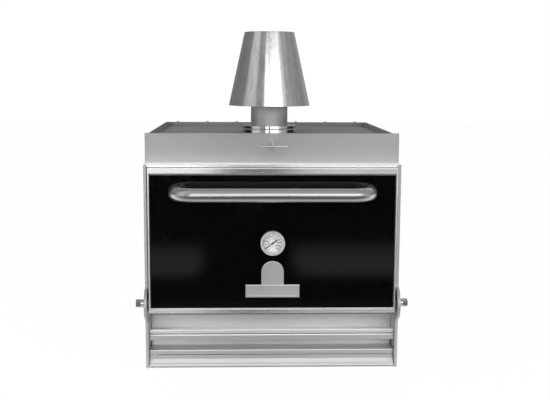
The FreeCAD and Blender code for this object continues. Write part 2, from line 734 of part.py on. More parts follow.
# Ash drawer: a front folded to a full-width grip, and a tray that runs on angles
drawer_half = cheek_inner - DRAWER_GAP
ash_top = SHELF_HEIGHT - SHEET - DRAWER_GAP
ash_web = drawer_front + ASH_GRIP_DEPTH
ash_points = [
    (drawer_front, ASH_LIP_BOTTOM),
    (drawer_front, ash_top),
    (ash_web + SHEET, ash_top),
    (ash_web + SHEET, ASH_SHELF - SHEET),
    (drawer_front + SHEET, ASH_SHELF - SHEET),
    (drawer_front + SHEET, ASH_BOTTOM),
]
parts["ash_drawer_front"] = folded_sheet("x", ash_points, -drawer_half, drawer_half)
tray_half_width = TRAY_WIDTH / 2
ash_tray_bottom = ash_top - ASH_TRAY_DEPTH
ash_tray_back = ash_back + ASH_TRAY_OVERLAP
ash_tray = block(
    -tray_half_width, tray_half_width, ash_web + SHEET, ash_tray_back, ash_tray_bottom, ash_top,
)
parts["ash_drawer_tray"] = pan(ash_tray, SHEET, ("z", ash_top))

# Draught drawer at the foot: a sloped front that lets air in below the fire when it is drawn out
air_top = ASH_BOTTOM - DRAWER_GAP
air_points = [
    (front + AIR_RETURN, AIR_BOTTOM),
    (front, AIR_BOTTOM),
    (front, AIR_LIP_TOP),
    (drawer_front, AIR_SLOPE_TOP),
    (drawer_front, air_top),
]
parts["air_drawer_front"] = folded_sheet("x", air_points, -drawer_half, drawer_half)
air_tray_bottom = BASE_RIM + DRAWER_GAP
air_tray = block(
    -tray_half_width, tray_half_width, drawer_front + SHEET, drawer_front + SHEET + AIR_TRAY_LENGTH,
    air_tray_bottom, air_tray_bottom + AIR_TRAY_DEPTH,
)
parts["air_drawer_tray"] = pan(air_tray, SHEET, ("z", air_tray_bottom + AIR_TRAY_DEPTH))

# Runners: angles on the side panels for the ash tray, and strips on the base pan for the draught tray
runner_y = cheek_back + SHEET + SEAT_GAP
runner_top = ash_tray_bottom - SEAT_GAP
runner_points = [
    (tray_half_width - RUNNER_WIDTH, runner_top),
    (half - SHEET, runner_top),
    (half - SHEET, runner_top - RUNNER_LEG),
]
runner_back = ash_tray_back + RUNNER_SPARE
runner = folded_sheet("y", runner_points, runner_y, runner_back)
strip_y = base_front + SHEET
strip = block(
    tray_half_width - RUNNER_WIDTH, tray_half_width, strip_y, runner_back,
    SHEET, air_tray_bottom - SEAT_GAP,
)
parts["drawer_runners"] = Part.makeCompound([*both_sides(runner), *both_sides(strip)])

# Pivot bolts and washers, and the flanged bushes in the door that turn on the bolts
head_x = half + WASHER_THICKNESS + BOLT_COLLAR
bolt = crosswise(bolt_radius, cheek_inner - BOLT_REACH, head_x, pivot_y, PIVOT_HEIGHT)
bolt_collar = crosswise(BOLT_COLLAR_DIAMETER / 2, half + WASHER_THICKNESS, head_x, pivot_y, PIVOT_HEIGHT)
head_radius = HEAD_ACROSS_FLATS / math.sqrt(3)
head_points = []
for index in range(6):
    angle = math.radians(60 * index + 30)
    corner_y = pivot_y + head_radius * math.cos(angle)
    corner_z = PIVOT_HEIGHT + head_radius * math.sin(angle)
    head_points.append((corner_y, corner_z))
head = prism("x", head_points, head_x, head_x + HEAD_HEIGHT)
bolt = bolt.fuse([bolt_collar, head]).removeSplitter()
parts["pivot_bolts"] = Part.makeCompound(list(both_sides(bolt)))
washer = crosswise(WASHER_DIAMETER / 2, half, half + WASHER_THICKNESS, pivot_y, PIVOT_HEIGHT)
washer = washer.cut(
    crosswise(bolt_radius + BOLT_CLEARANCE, half, half + WASHER_THICKNESS, pivot_y, PIVOT_HEIGHT)
)
parts["pivot_washers"] = Part.makeCompound(list(both_sides(washer)))
pivot_bush_in = cheek_inner - BOLT_REACH - DOOR_WALL
pivot_bush = crosswise(PIVOT_BUSH_DIAMETER / 2, pivot_bush_in, door_half, pivot_y, PIVOT_HEIGHT)
bush_flange = crosswise(
    PIVOT_BUSH_FLANGE / 2, door_half, cheek_inner - SEAT_GAP, pivot_y, PIVOT_HEIGHT,
)
pivot_bush = pivot_bush.fuse(bush_flange).removeSplitter()
pivot_bore = crosswise(bolt_radius + BOLT_CLEARANCE, pivot_bush_in, cheek_inner, pivot_y, PIVOT_HEIGHT)
parts["pivot_bushes"] = Part.makeCompound(list(both_sides(pivot_bush.cut(pivot_bore))))

# Door frame: a deep steel tray with a bevelled border round the panel's opening. The rear of its top slopes
# away, so that it swings clear of the rail's lip.
door_wall_back = door_back - DOOR_LINER
door_block = block(-door_half, door_half, door_front, door_wall_back, DOOR_BOTTOM, door_top)
door_edges = [edge for edge in door_block.Edges if abs(edge.BoundBox.YMax - door_front) < 1e-6]
door_block = door_block.makeFillet(DOOR_EDGE_RADIUS, door_edges)
door_hollow = block(
    -door_half + DOOR_WALL, door_half - DOOR_WALL, panel_front, door_wall_back,
    DOOR_BOTTOM + DOOR_WALL, door_top - DOOR_WALL,
)
opening_half = door_half - BORDER_SIDE
opening_bottom = DOOR_BOTTOM + BORDER_BOTTOM
opening_top = door_top - BORDER_TOP


def opening_loop(y, side, bottom, top):
    """The opening's outline at a depth, widened by the bevel at its sides, bottom and top."""
    corners = [
        Vector(-opening_half - side, y, opening_bottom - bottom),
        Vector(opening_half + side, y, opening_bottom - bottom),
        Vector(opening_half + side, y, opening_top + top),
        Vector(-opening_half - side, y, opening_top + top),
    ]
    return Part.makePolygon(corners + corners[:1])


opening_rear = opening_loop(panel_front, 0, 0, 0)
opening_face = opening_loop(door_front, BEVEL_SIDE, BEVEL_BOTTOM, BEVEL_TOP)
opening = Part.makeLoft([opening_face, opening_rear], True, True)
relief_points = [
    (pivot_y + RELIEF_START, door_top),
    (door_back, door_top),
    (door_back, door_top - DOOR_RELIEF),
]
top_relief = prism("x", relief_points, -door_half, door_half)
door_frame = door_block.cut([door_hollow, opening, top_relief])
for hole in both_sides(crosswise(PIVOT_BUSH_DIAMETER / 2, pivot_bush_in, door_half, pivot_y, PIVOT_HEIGHT)):
    door_frame = door_frame.cut(hole)
parts["door_frame"] = door_frame

# Door panel, inner liner and the fibre between them
stem_radius = STEM_DIAMETER / 2
stem_hole = endways(stem_radius + SEAT_GAP, panel_front, door_back, 0, dial_z)
panel_half = door_half - DOOR_WALL - SEAT_GAP
panel_bottom = DOOR_BOTTOM + DOOR_WALL + SEAT_GAP
panel_top = door_top - DOOR_WALL - SEAT_GAP
door_panel = block(-panel_half, panel_half, panel_front, panel_back, panel_bottom, panel_top)
parts["door_panel"] = door_panel.cut(stem_hole)
flange_front = door_wall_back - DOOR_LINER_FLANGE
liner_block = block(-panel_half, panel_half, flange_front, door_back, panel_bottom, panel_top)
door_liner = pan(liner_block, DOOR_LINER, ("y", flange_front))
liner_plate = block(-door_half, door_half, door_wall_back, door_back, DOOR_BOTTOM, door_top)
parts["door_liner"] = door_liner.fuse(liner_plate).removeSplitter().cut([stem_hole, top_relief])
board_half = panel_half - BOARD_GAP
door_board = block(
    -board_half, board_half, panel_back, flange_front, panel_bottom + BOARD_GAP, panel_top - BOARD_GAP,
)
door_board = door_board.cut(stem_hole)
bush_pocket = crosswise(
    PIVOT_BUSH_DIAMETER / 2 + BOARD_GAP, pivot_bush_in - BOARD_GAP, door_half, pivot_y, PIVOT_HEIGHT,
)
for pocket in both_sides(bush_pocket):
    door_board = door_board.cut(pocket)
parts["door_insulation"] = door_board

# Handle: a bent tube whose legs stand in rosettes on the panel
tube_radius = HANDLE_DIAMETER / 2
leg_x = HANDLE_WIDTH / 2 - tube_radius
handle_y = panel_front - HANDLE_STANDOFF
handle_corners = [
    Vector(-leg_x, panel_front, 0),
    Vector(-leg_x, handle_y, 0),
    Vector(leg_x, handle_y, 0),
    Vector(leg_x, panel_front, 0),
]
handle_edges = []
for ends in bent_edges(handle_corners, [HANDLE_BEND, HANDLE_BEND]):
    placed = [Vector(p.x, p.y, handle_z) for p in ends]
    curve = Part.LineSegment(*placed) if len(placed) == 2 else Part.Arc(*placed)
    handle_edges.append(curve.toShape())
handle_path = Part.Wire(handle_edges)


def swept(radius):
    """A round rod along the handle's path."""
    circle = Part.makeCircle(radius, Vector(-leg_x, panel_front, handle_z), Vector(0, 1, 0))
    return handle_path.makePipeShell([Part.Wire([circle])], True, True)


parts["door_handle"] = swept(tube_radius).cut(swept(tube_radius - HANDLE_WALL))
rosette_points = [
    (tube_radius + SEAT_GAP, 0),
    (ROSETTE_DIAMETER / 2, 0),
    (ROSETTE_DIAMETER / 2, ROSETTE_THICKNESS - ROSETTE_EDGE),
    (ROSETTE_DIAMETER / 2 - ROSETTE_EDGE, ROSETTE_THICKNESS),
    (tube_radius + SEAT_GAP, ROSETTE_THICKNESS),
]
rosette = turned_endways(rosette_points, leg_x, handle_z, panel_front)
parts["handle_rosettes"] = Part.makeCompound(list(both_sides(rosette)))

# Thermometer: a case with its stem through the door, a dial, a pointer and a lens behind the bezel
case_radius = CASE_DIAMETER / 2
case_inner = case_radius - CASE_WALL
lens_back = CASE_DEPTH - BEZEL_DEPTH - LENS_THICKNESS
stem_length = door_back - panel_front + STEM_REACH
case_points = [
    (0, -stem_length),
    (stem_radius, -stem_length),
    (stem_radius, 0),
    (case_radius, 0),
    (case_radius, CASE_DEPTH - BEZEL_EDGE),
    (case_radius - BEZEL_EDGE, CASE_DEPTH),
    (case_radius - BEZEL_WIDTH, CASE_DEPTH),
    (case_radius - BEZEL_WIDTH, CASE_DEPTH - BEZEL_DEPTH),
    (case_inner, CASE_DEPTH - BEZEL_DEPTH),
    (case_inner, CASE_WALL),
    (0, CASE_WALL),
]
parts["thermometer_case"] = turned_endways(case_points, 0, dial_z, panel_front)
dial_top = CASE_WALL + DIAL_THICKNESS
shaft_radius = POINTER_SHAFT / 2
dial_points = [
    (shaft_radius + POINTER_CLEARANCE, CASE_WALL),
    (case_inner, CASE_WALL),
    (case_inner, dial_top),
    (shaft_radius + POINTER_CLEARANCE, dial_top),
]
parts["thermometer_dial"] = turned_endways(dial_points, 0, dial_z, panel_front)
lens_y = panel_front - lens_back
lens_front = lens_y - LENS_THICKNESS
parts["thermometer_lens"] = endways(case_inner, lens_front, lens_y, 0, dial_z)
needle_back = panel_front - dial_top - POINTER_LIFT
needle_front = needle_back - POINTER_THICKNESS
needle_points = [
    (POINTER_LENGTH, -POINTER_TIP_WIDTH / 2),
    (POINTER_LENGTH, POINTER_TIP_WIDTH / 2),
    (0, POINTER_ROOT_WIDTH / 2),
    (-POINTER_TAIL, POINTER_TAIL_WIDTH / 2),
    (-POINTER_TAIL, -POINTER_TAIL_WIDTH / 2),
    (0, -POINTER_ROOT_WIDTH / 2),
]
needle = prism("y", needle_points, needle_front, needle_back)
needle_hub = endways(POINTER_HUB / 2, needle_front, needle_back, 0, 0)
shaft_back = panel_front - CASE_WALL - SEAT_GAP
needle_shaft = endways(shaft_radius, needle_back, shaft_back, 0, 0)
pointer = needle.fuse([needle_hub, needle_shaft]).removeSplitter()
pointer.rotate(Vector(0, 0, 0), Vector(0, -1, 0), POINTER_ANGLE)
pointer.translate(Vector(0, 0, dial_z))
parts["thermometer_pointer"] = pointer

# Nameplate with a raised rim, and an arched badge over it
plate_half = PLATE_WIDTH / 2
plate_front = panel_front - PLATE_THICKNESS
plate = block(-plate_half, plate_half, plate_front, panel_front, PLATE_BOTTOM, plate_top)
plate = plate.makeChamfer(PLATE_BEVEL, faces_at(plate, "y", plate_front)[0].Edges)
rim_inset = PLATE_BEVEL + PLATE_RIM
plate_recess = block(
    -plate_half + rim_inset, plate_half - rim_inset, plate_front, plate_front + PLATE_RECESS,
    PLATE_BOTTOM + rim_inset, plate_top - rim_inset,
)
parts["nameplate"] = plate.cut(plate_recess)
badge_half = BADGE_WIDTH / 2
badge_front = panel_front - BADGE_THICKNESS
spring_z = badge_top - badge_half
badge_corners = [
    Vector(-badge_half, panel_front, spring_z),
    Vector(-badge_half, panel_front, badge_bottom),
    Vector(badge_half, panel_front, badge_bottom),
    Vector(badge_half, panel_front, spring_z),
]
badge_edges = Part.makePolygon(badge_corners).Edges
badge_crown = Vector(0, panel_front, badge_top)
badge_edges.append(Part.Arc(badge_corners[3], badge_crown, badge_corners[0]).toShape())
badge = Part.Face(Part.Wire(badge_edges)).extrude(Vector(0, -BADGE_THICKNESS, 0))
parts["badge"] = badge.makeChamfer(BADGE_BEVEL, faces_at(badge, "y", badge_front)[0].Edges)

os.makedirs("parts", exist_ok=True)
for name, shape in parts.items():
    shape.exportStep(os.path.join("parts", name + ".step"))
    print(name, "solids", len(shape.Solids), "volume", round(shape.Volume), "valid", shape.isValid())
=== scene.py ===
# %% [markdown]
# A counter-top charcoal oven
#
# The oven is a box of brushed steel with a black drop-down door, a flue with a conical hat on its roof, and
# an ash drawer and a draught drawer at its foot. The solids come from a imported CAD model. This lesson gives
# them their looks: a finish for every sheet, broken edges that catch the light, and the small fittings that
# are too fine for the CAD model.

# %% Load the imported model
import math

import bmesh
import bpy
from mathutils import Matrix, Vector


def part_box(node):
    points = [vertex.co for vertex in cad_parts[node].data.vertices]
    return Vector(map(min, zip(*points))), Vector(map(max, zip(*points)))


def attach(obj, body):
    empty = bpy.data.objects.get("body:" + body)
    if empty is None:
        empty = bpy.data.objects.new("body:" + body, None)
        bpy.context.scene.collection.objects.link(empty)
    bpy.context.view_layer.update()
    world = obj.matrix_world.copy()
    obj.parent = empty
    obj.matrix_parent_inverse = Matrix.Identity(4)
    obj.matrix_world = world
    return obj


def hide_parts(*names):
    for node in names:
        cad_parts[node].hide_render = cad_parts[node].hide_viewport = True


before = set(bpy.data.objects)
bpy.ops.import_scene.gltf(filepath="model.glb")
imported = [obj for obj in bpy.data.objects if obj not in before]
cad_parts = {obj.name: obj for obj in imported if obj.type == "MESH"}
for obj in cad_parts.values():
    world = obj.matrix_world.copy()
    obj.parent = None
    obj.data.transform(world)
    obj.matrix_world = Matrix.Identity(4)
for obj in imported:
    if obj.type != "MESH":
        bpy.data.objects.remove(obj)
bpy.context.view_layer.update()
scene = bpy.context.scene
scene.view_settings.view_transform = "Standard"

# %% [markdown]
# The camera
#
# The oven was taken from straight ahead with a long lens, from a little above the roof's height, so the roof
# shows as a thin band. A camera could be set by eye, but a place, a lens and three small angles found from
# the casing's straight edges put every edge on its own pixel.

# %% Camera
CAMERA_PLACE = (-0.0869, -3.1523, 0.9299)
CAMERA_LENS = 59.2
CAMERA_SENSOR = 36.0
LOOK_DOWN = 0.1389
LOOK_RIGHT = 0.0337
CAMERA_ROLL = 0.0046

camera_data = bpy.data.cameras.new("photo_camera")
camera_data.lens = CAMERA_LENS
camera_data.sensor_width = CAMERA_SENSOR
camera = bpy.data.objects.new("photo_camera", camera_data)
look = Matrix.Rotation(-LOOK_RIGHT, 4, "Z") @ Matrix.Rotation(math.pi / 2 - LOOK_DOWN, 4, "X")
camera.matrix_world = Matrix.Translation(CAMERA_PLACE) @ look @ Matrix.Rotation(CAMERA_ROLL, 4, "Z")
scene.collection.objects.link(camera)
scene.camera = camera
print("camera at", CAMERA_PLACE, "lens", CAMERA_LENS)

# %% [markdown]
# Wiring nodes
#
# Every finish here is a small node tree. Its nodes could be wired one by one, but helpers that add a node,
# fill in its sockets and do sums keep the trees short.

# %% Node helpers
def feed(tree, socket, value):
    """Gives a socket a link or a value."""
    if isinstance(value, bpy.types.NodeSocket):
        tree.links.new(value, socket)
    else:
        socket.default_value = value


def add_node(tree, kind, *inputs, **values):
    """A node with its first sockets filled in by order, and other sockets and settings by name."""
    made = tree.nodes.new("ShaderNode" + kind)
    for key, value in values.items():
        name = key.replace("_", " ")
        if name in made.inputs:
            feed(tree, made.inputs[name], value)
        else:
            setattr(made, key, value)
    for socket, value in zip(made.inputs, inputs):
        feed(tree, socket, value)
    return made


def sum_of(tree, operation, *values):
    """The output of a Math node for sockets or numbers."""
    return add_node(tree, "Math", *values, operation=operation).outputs[0]


def product_of(tree, first, *others):
    """Sockets or numbers multiplied together."""
    for other in others:
        first = sum_of(tree, "MULTIPLY", first, other)
    return first


def ramp_of(tree, value, stops):
    """A grey ramp through (position, tone) stops, read at a socket."""
    made = add_node(tree, "ValToRGB", value)
    elements = made.color_ramp.elements
    while len(elements) < len(stops):
        elements.new(0.5)
    for element, (position, tone) in zip(elements, stops):
        element.position = position
        element.color = (tone, tone, tone, 1)
    return made.outputs["Color"]


def scaled(tree, value, low, high, new_low, new_high):
    """A socket's value moved smoothly from one range to another."""
    ends = (low, high, new_low, new_high)
    return add_node(tree, "MapRange", value, *ends, interpolation_type="SMOOTHSTEP").outputs["Result"]


def between(tree, value, low, high, soft):
    """1 between two limits, fading to 0 over a soft margin outside them."""
    over_low = scaled(tree, value, low - soft, low, 0.0, 1.0)
    return product_of(tree, over_low, scaled(tree, value, high, high + soft, 1.0, 0.0))


def seen_directly(tree):
    """1 for rays from the camera, a mirror or a lens, and 0 for rays that only carry light."""
    path = add_node(tree, "LightPath")
    straight = sum_of(tree, "MAXIMUM", path.outputs["Is Camera Ray"], path.outputs["Is Glossy Ray"])
    return sum_of(tree, "MAXIMUM", straight, path.outputs["Is Transmission Ray"])


print("node helpers ready")

# %% [markdown]
# The studio
#
# A bright metal object shows its surroundings more than itself, so the studio comes before the finishes. The
# floor and the backdrop are white. More lamps could whiten them, but would bleach the oven, so both have a
# glow that only the camera, mirrors and lenses see. The floor keeps some of its own tone for the shadow.

# %% White backdrop and floor
FILL_LIGHT = 0.55
FLOOR_SIZE = 14.0
FLOOR_LIFT = -0.0004
FLOOR_TONE = 0.9
FLOOR_GLOW = 0.97
WHITE = (1.0, 1.0, 1.0, 1.0)
OTHER_RAYS = ("camera", "diffuse", "transmission", "volume_scatter", "shadow")

world = bpy.data.worlds.new("backdrop")
scene.world = world
world.use_nodes = True
backdrop = world.node_tree.nodes["Background"]
backdrop.inputs["Color"].default_value = WHITE
backdrop_level = scaled(world.node_tree, seen_directly(world.node_tree), 0, 1, FILL_LIGHT, 1.0)
world.node_tree.links.new(backdrop_level, backdrop.inputs["Strength"])


def new_finish(name):
    """An empty material and its tree."""
    material = bpy.data.materials.new(name)
    material.use_nodes = True
    material.node_tree.nodes.clear()
    return material, material.node_tree


def finished(material, shader):
    """A material with a shader as its surface."""
    add_node(material.node_tree, "OutputMaterial", shader.outputs[0])
    return material


def add_stage(name, mesh, material, only_mirrored=False):
    """A stage object of a bmesh; one that is only mirrored is hidden from all but glossy rays."""
    data = bpy.data.meshes.new(name)
    mesh.to_mesh(data)
    mesh.free()
    data.materials.append(material)
    made = bpy.data.objects.new(name, data)
    scene.collection.objects.link(made)
    for ray in OTHER_RAYS if only_mirrored else ():
        setattr(made, "visible_" + ray, False)


floor_finish, tree = new_finish("white_floor")
paper = add_node(tree, "BsdfDiffuse", (FLOOR_TONE, FLOOR_TONE, FLOOR_TONE, 1))
glow = add_node(tree, "Emission", WHITE, 1.0)
glow_share = product_of(tree, seen_directly(tree), FLOOR_GLOW)
finished(floor_finish, add_node(tree, "MixShader", glow_share, paper.outputs[0], glow.outputs[0]))
mesh = bmesh.new()
bmesh.ops.create_grid(mesh, x_segments=4, y_segments=4, size=FLOOR_SIZE)
bmesh.ops.translate(mesh, verts=mesh.verts, vec=(0, 0, FLOOR_LIFT))
add_stage("floor", mesh, floor_finish)
print("floor", 2 * FLOOR_SIZE, "m wide")

# %% [markdown]
# The metal mirrors a dome of grey walls, whose soft windows give the pale streaks on the hat, the handle and
# the rails. A picture of a room could do this, but tones by angle are easier to move. The dome gives no light
# and is out of the camera's view, so it only shapes reflections.

# %% The room that the metal mirrors
ROOM_RADIUS = 9.0
ROOM_MIDDLE = 0.7
# Tones round the room by azimuth in degrees: 0 is ahead of the door, 90 is to its right
ROOM_TONES = (
    (-180, 0.34), (-120, 0.30), (-84, 0.32), (-76, 0.80), (-46, 0.92), (-40, 0.46), (-18, 0.44), (-8, 0.62),
    (44, 0.50), (58, 0.38), (84, 0.50), (112, 0.40), (150, 0.56), (180, 0.34),
)
# Tones from the floor to the ceiling by elevation in degrees, which the first tones are multiplied by
ROOM_HEIGHTS = (
    (-90, 0.95), (-34, 0.90), (-20, 0.16), (-8, 0.14), (-4, 0.55), (6, 0.75), (40, 0.85), (66, 0.80),
    (90, 0.80),
)
# Soft windows: azimuth and half width, lowest and highest elevation in degrees, and level
ROOM_WINDOWS = (
    (-9.5, 5.5, 9.0, 26.0, 1.8),
    (-9.5, 5.5, -5.0, 5.0, 1.70),
    (10.0, 4.0, -5.0, 5.0, 0.40),
    (52.0, 34.0, -6.0, 0.0, 0.50),
    (-44.0, 22.0, -6.0, 0.0, 0.30),
    (19.0, 18.0, 9.0, 26.0, 2.0),
    (43.0, 5.0, 9.0, 26.0, 0.40),
    (58.0, 12.0, 9.0, 26.0, 0.16),
)
WINDOW_SOFT = 3.0
# Dark bands at each side and the rear: first and last turn from the front, lowest and highest elevation
REAR_BANDS = ((80.0, 128.0, 2.0, 6.5), (120.0, 190.0, -40.0, 0.0))
REAR_TONE = 0.08
REAR_SOFT = 7.0


def glowing(material, level):
    """A material that is a white glow of a level."""
    return finished(material, add_node(material.node_tree, "Emission", WHITE, level))


room_finish, tree = new_finish("grey_room")
place = add_node(tree, "TexCoord").outputs["Object"]
offset = add_node(tree, "VectorMath", place, (0, 0, ROOM_MIDDLE), operation="SUBTRACT").outputs[0]
aim = add_node(tree, "VectorMath", offset, operation="NORMALIZE").outputs[0]
aim_x, aim_y, aim_z = add_node(tree, "SeparateXYZ", aim).outputs
azimuth = sum_of(tree, "DEGREES", sum_of(tree, "ARCTAN2", aim_x, product_of(tree, aim_y, -1.0)))
elevation = sum_of(tree, "DEGREES", sum_of(tree, "ARCSINE", aim_z))
around = sum_of(tree, "DIVIDE", sum_of(tree, "ADD", azimuth, 180.0), 360.0)
upward = sum_of(tree, "DIVIDE", sum_of(tree, "ADD", elevation, 90.0), 180.0)
wall_tone = ramp_of(tree, around, [((angle + 180) / 360, tone) for angle, tone in ROOM_TONES])
height_tone = ramp_of(tree, upward, [((angle + 90) / 180, tone) for angle, tone in ROOM_HEIGHTS])
room_level = product_of(tree, wall_tone, height_tone)
for window_azimuth, half_width, low, high, level in ROOM_WINDOWS:
    aside = sum_of(tree, "ABSOLUTE", sum_of(tree, "SUBTRACT", azimuth, window_azimuth))
    across = scaled(tree, aside, half_width, half_width + WINDOW_SOFT, level, 0.0)
    window = product_of(tree, across, between(tree, elevation, low, high, WINDOW_SOFT))
    room_level = sum_of(tree, "ADD", room_level, window)
turn = sum_of(tree, "ABSOLUTE", azimuth)
for start, end, low, high in REAR_BANDS:
    at_rear = between(tree, turn, start + REAR_SOFT, end - REAR_SOFT, 2 * REAR_SOFT)
    in_band = product_of(tree, at_rear, between(tree, elevation, low, high, WINDOW_SOFT))
    room_level = product_of(tree, room_level, scaled(tree, in_band, 0.0, 1.0, 1.0, REAR_TONE))
mesh = bmesh.new()
bmesh.ops.create_icosphere(mesh, subdivisions=4, radius=ROOM_RADIUS)
bmesh.ops.translate(mesh, verts=mesh.verts, vec=(0, 0, ROOM_MIDDLE))
add_stage("grey_room", mesh, glowing(room_finish, room_level), only_mirrored=True)
print("room with", len(ROOM_WINDOWS), "windows")

# %% [markdown]
# A gloss black door over a white floor would look grey, so a dark cloth lies ahead of the oven. The door
# shows it as deep black with one pale strip, which has a gap in the middle. The cloth is paler close to the
# oven, for the lowest sheets. Lamps over a dark plane could do this, but tones by place are surer.

# %% Dark cloth on the floor
CLOTH_NEAR = -0.36
CLOTH_FAR = -8.4
CLOTH_HALF = 5.0
CLOTH_LIFT = 0.002
CLOTH_NEAR_TONE = 0.66
CLOTH_FADE = -1.35
CLOTH_TONE = 0.006
# The pale strip across the cloth: where it starts, is full and ends ahead of the oven, and the gap in it
SHEEN_AHEAD = (-2.78, -2.02, -1.90, -1.52)
SHEEN_TONE = 0.36
GAP_MIDDLE = -0.07
GAP_HALF = 0.17
GAP_SOFT = 0.12

cloth_finish, tree = new_finish("dark_cloth")
place = add_node(tree, "TexCoord").outputs["Object"]
cloth_x, cloth_y = add_node(tree, "SeparateXYZ", place).outputs[:2]
far_start, far_full, near_full, near_end = SHEEN_AHEAD
past_far = scaled(tree, cloth_y, far_start, far_full, 0.0, 1.0)
before_near = scaled(tree, cloth_y, near_full, near_end, 1.0, 0.0)
from_gap = sum_of(tree, "ABSOLUTE", sum_of(tree, "SUBTRACT", cloth_x, GAP_MIDDLE))
beside_gap = scaled(tree, from_gap, GAP_HALF, GAP_HALF + GAP_SOFT, 0.0, 1.0)
in_strip = product_of(tree, past_far, before_near, beside_gap)
sheen_level = scaled(tree, in_strip, 0.0, 1.0, CLOTH_TONE, SHEEN_TONE)
near_level = scaled(tree, cloth_y, CLOTH_FADE, CLOTH_NEAR, 0.0, CLOTH_NEAR_TONE)
cloth_level = sum_of(tree, "ADD", sheen_level, near_level)
mesh = bmesh.new()
bmesh.ops.create_grid(mesh, x_segments=2, y_segments=2, size=1.0)
bmesh.ops.scale(mesh, verts=mesh.verts, vec=(CLOTH_HALF, (CLOTH_NEAR - CLOTH_FAR) / 2, 1))
bmesh.ops.translate(mesh, verts=mesh.verts, vec=(0, (CLOTH_NEAR + CLOTH_FAR) / 2, CLOTH_LIFT))
add_stage("dark_cloth", mesh, glowing(cloth_finish, cloth_level), only_mirrored=True)
print("cloth from", CLOTH_NEAR, "to", CLOTH_FAR, "m")

# %% [markdown]
# A narrow dark screen behind the camera shows in the flat rails as a soft dark patch, which keeps them from
# looking evenly painted. A flat board would show its edges, so the screen is a stretched ball.

# %% Dark screen behind the camera
SCREEN_SPOT = (-0.05, -3.5, 0.86)
SCREEN_HALVES = (0.24, 0.14, 0.86)
SCREEN_TONE = 0.05

mesh = bmesh.new()
bmesh.ops.create_icosphere(mesh, subdivisions=3, radius=1.0)
bmesh.ops.scale(mesh, verts=mesh.verts, vec=SCREEN_HALVES)
bmesh.ops.translate(mesh, verts=mesh.verts, vec=SCREEN_SPOT)
screen_finish = glowing(new_finish("dark_screen")[0], SCREEN_TONE)
add_stage("dark_screen", mesh, screen_finish, only_mirrored=True)
print("screen", 2 * SCREEN_HALVES[2], "m high")

# %% [markdown]
# The lamps
#
# Four soft lamps light what is not metal and cast the shadow. The metal could mirror them too, but each would
# add a streak of its own, so they are hidden from mirrors and the room alone sets the streaks.

# %% Lamps
# Name, place, target, width, height and power in watts
LAMPS = (
    ("overhead_lamp", (-0.8, -0.8, 2.4), (-0.3, -0.3, 0.4), 1.9, 1.2, 15.0),
    ("left_key_lamp", (-1.9, -2.6, 1.2), (0.0, -0.3, 0.4), 1.3, 1.2, 48.0),
    ("right_fill_lamp", (2.3, -2.4, 1.1), (0.0, -0.3, 0.4), 1.4, 1.2, 31.0),
    ("rear_lamp", (0.6, 2.4, 2.4), (0.0, 0.2, 0.4), 2.0, 1.4, 20.0),
)

for name, spot, target, width, height, watts in LAMPS:
    data = bpy.data.lights.new(name, "AREA")
    data.shape = "RECTANGLE"
    data.size = width
    data.size_y = height
    data.energy = watts
    lamp = bpy.data.objects.new(name, data)
    lamp.location = spot
    lamp.rotation_euler = (Vector(target) - Vector(spot)).to_track_quat("-Z", "Y").to_euler()
    lamp.visible_glossy = False
    scene.collection.objects.link(lamp)
print(len(LAMPS), "lamps")

# %% [markdown]
# Brushed and polished steel
#
# Brushed sheet carries thousands of fine scratches in one direction. They could be modelled, but at this size
# a noise pattern that is stretched along the brushing does the same work: it varies the roughness and a very
# shallow bump. A wider noise gives the soft marks of handling. These helpers make such patterns.

# %% Pattern helpers
MIX_LOW, MIX_HIGH, MIX_COLOUR = 6, 7, 2


def stretched_noise(tree, scales, detail=2.0, roughness=0.5):
    """Noise from 0 to 1, at one scale or at its own along x, y and z of the piece."""
    place = add_node(tree, "TexCoord").outputs["Object"]
    stretch = add_node(tree, "Mapping", place, Scale=scales if isinstance(scales, tuple) else (scales,) * 3)
    noise = add_node(tree, "TexNoise", stretch.outputs[0], Scale=1.0, Detail=detail, Roughness=roughness)
    return noise.outputs["Fac"]


def along_axis(axis, along, across):
    """Scales that are small along one axis and large across it."""
    return tuple(along if name == axis else across for name in "xyz")


def tinted(tree, value, low, high):
    """A colour between two greys, or two colours, by a value from 0 to 1."""
    mix = add_node(tree, "Mix", value, data_type="RGBA")
    for socket, tone in ((MIX_LOW, low), (MIX_HIGH, high)):
        mix.inputs[socket].default_value = (*tone, 1) if isinstance(tone, tuple) else (tone, tone, tone, 1)
    return mix.outputs[MIX_COLOUR]


def bumped(tree, height, strength, depth):
    """Normals that follow a height, through a bump."""
    return add_node(tree, "Bump", Strength=strength, Distance=depth, Height=height).outputs[0]


def blended(tree, first, second, share):
    """Two values added in proportion."""
    return sum_of(tree, "ADD", product_of(tree, first, 1 - share), product_of(tree, second, share))


print("pattern helpers ready")

# %% [markdown]
# The scratches also spread each highlight across the brushing. A very long noise could imitate that, but the
# shader's anisotropy does it directly, along a tangent that is square to the brushing on every face.

# %% Brushed steel
AXES = {"x": (1, 0, 0), "y": (0, 1, 0), "z": (0, 0, 1)}
SCRATCHES_ACROSS = 620.0
BANDS_ACROSS = 46.0
BANDS_RUN = 0.26
CLOUD_GRAIN = 3.1
BANDS_SHARE = 0.55
CLOUD_SHARE = 0.5
BLUR_SHARE = 0.4
NOISE_SPAN = (0.25, 0.75)
SCRATCH_DEPTH = 0.0002


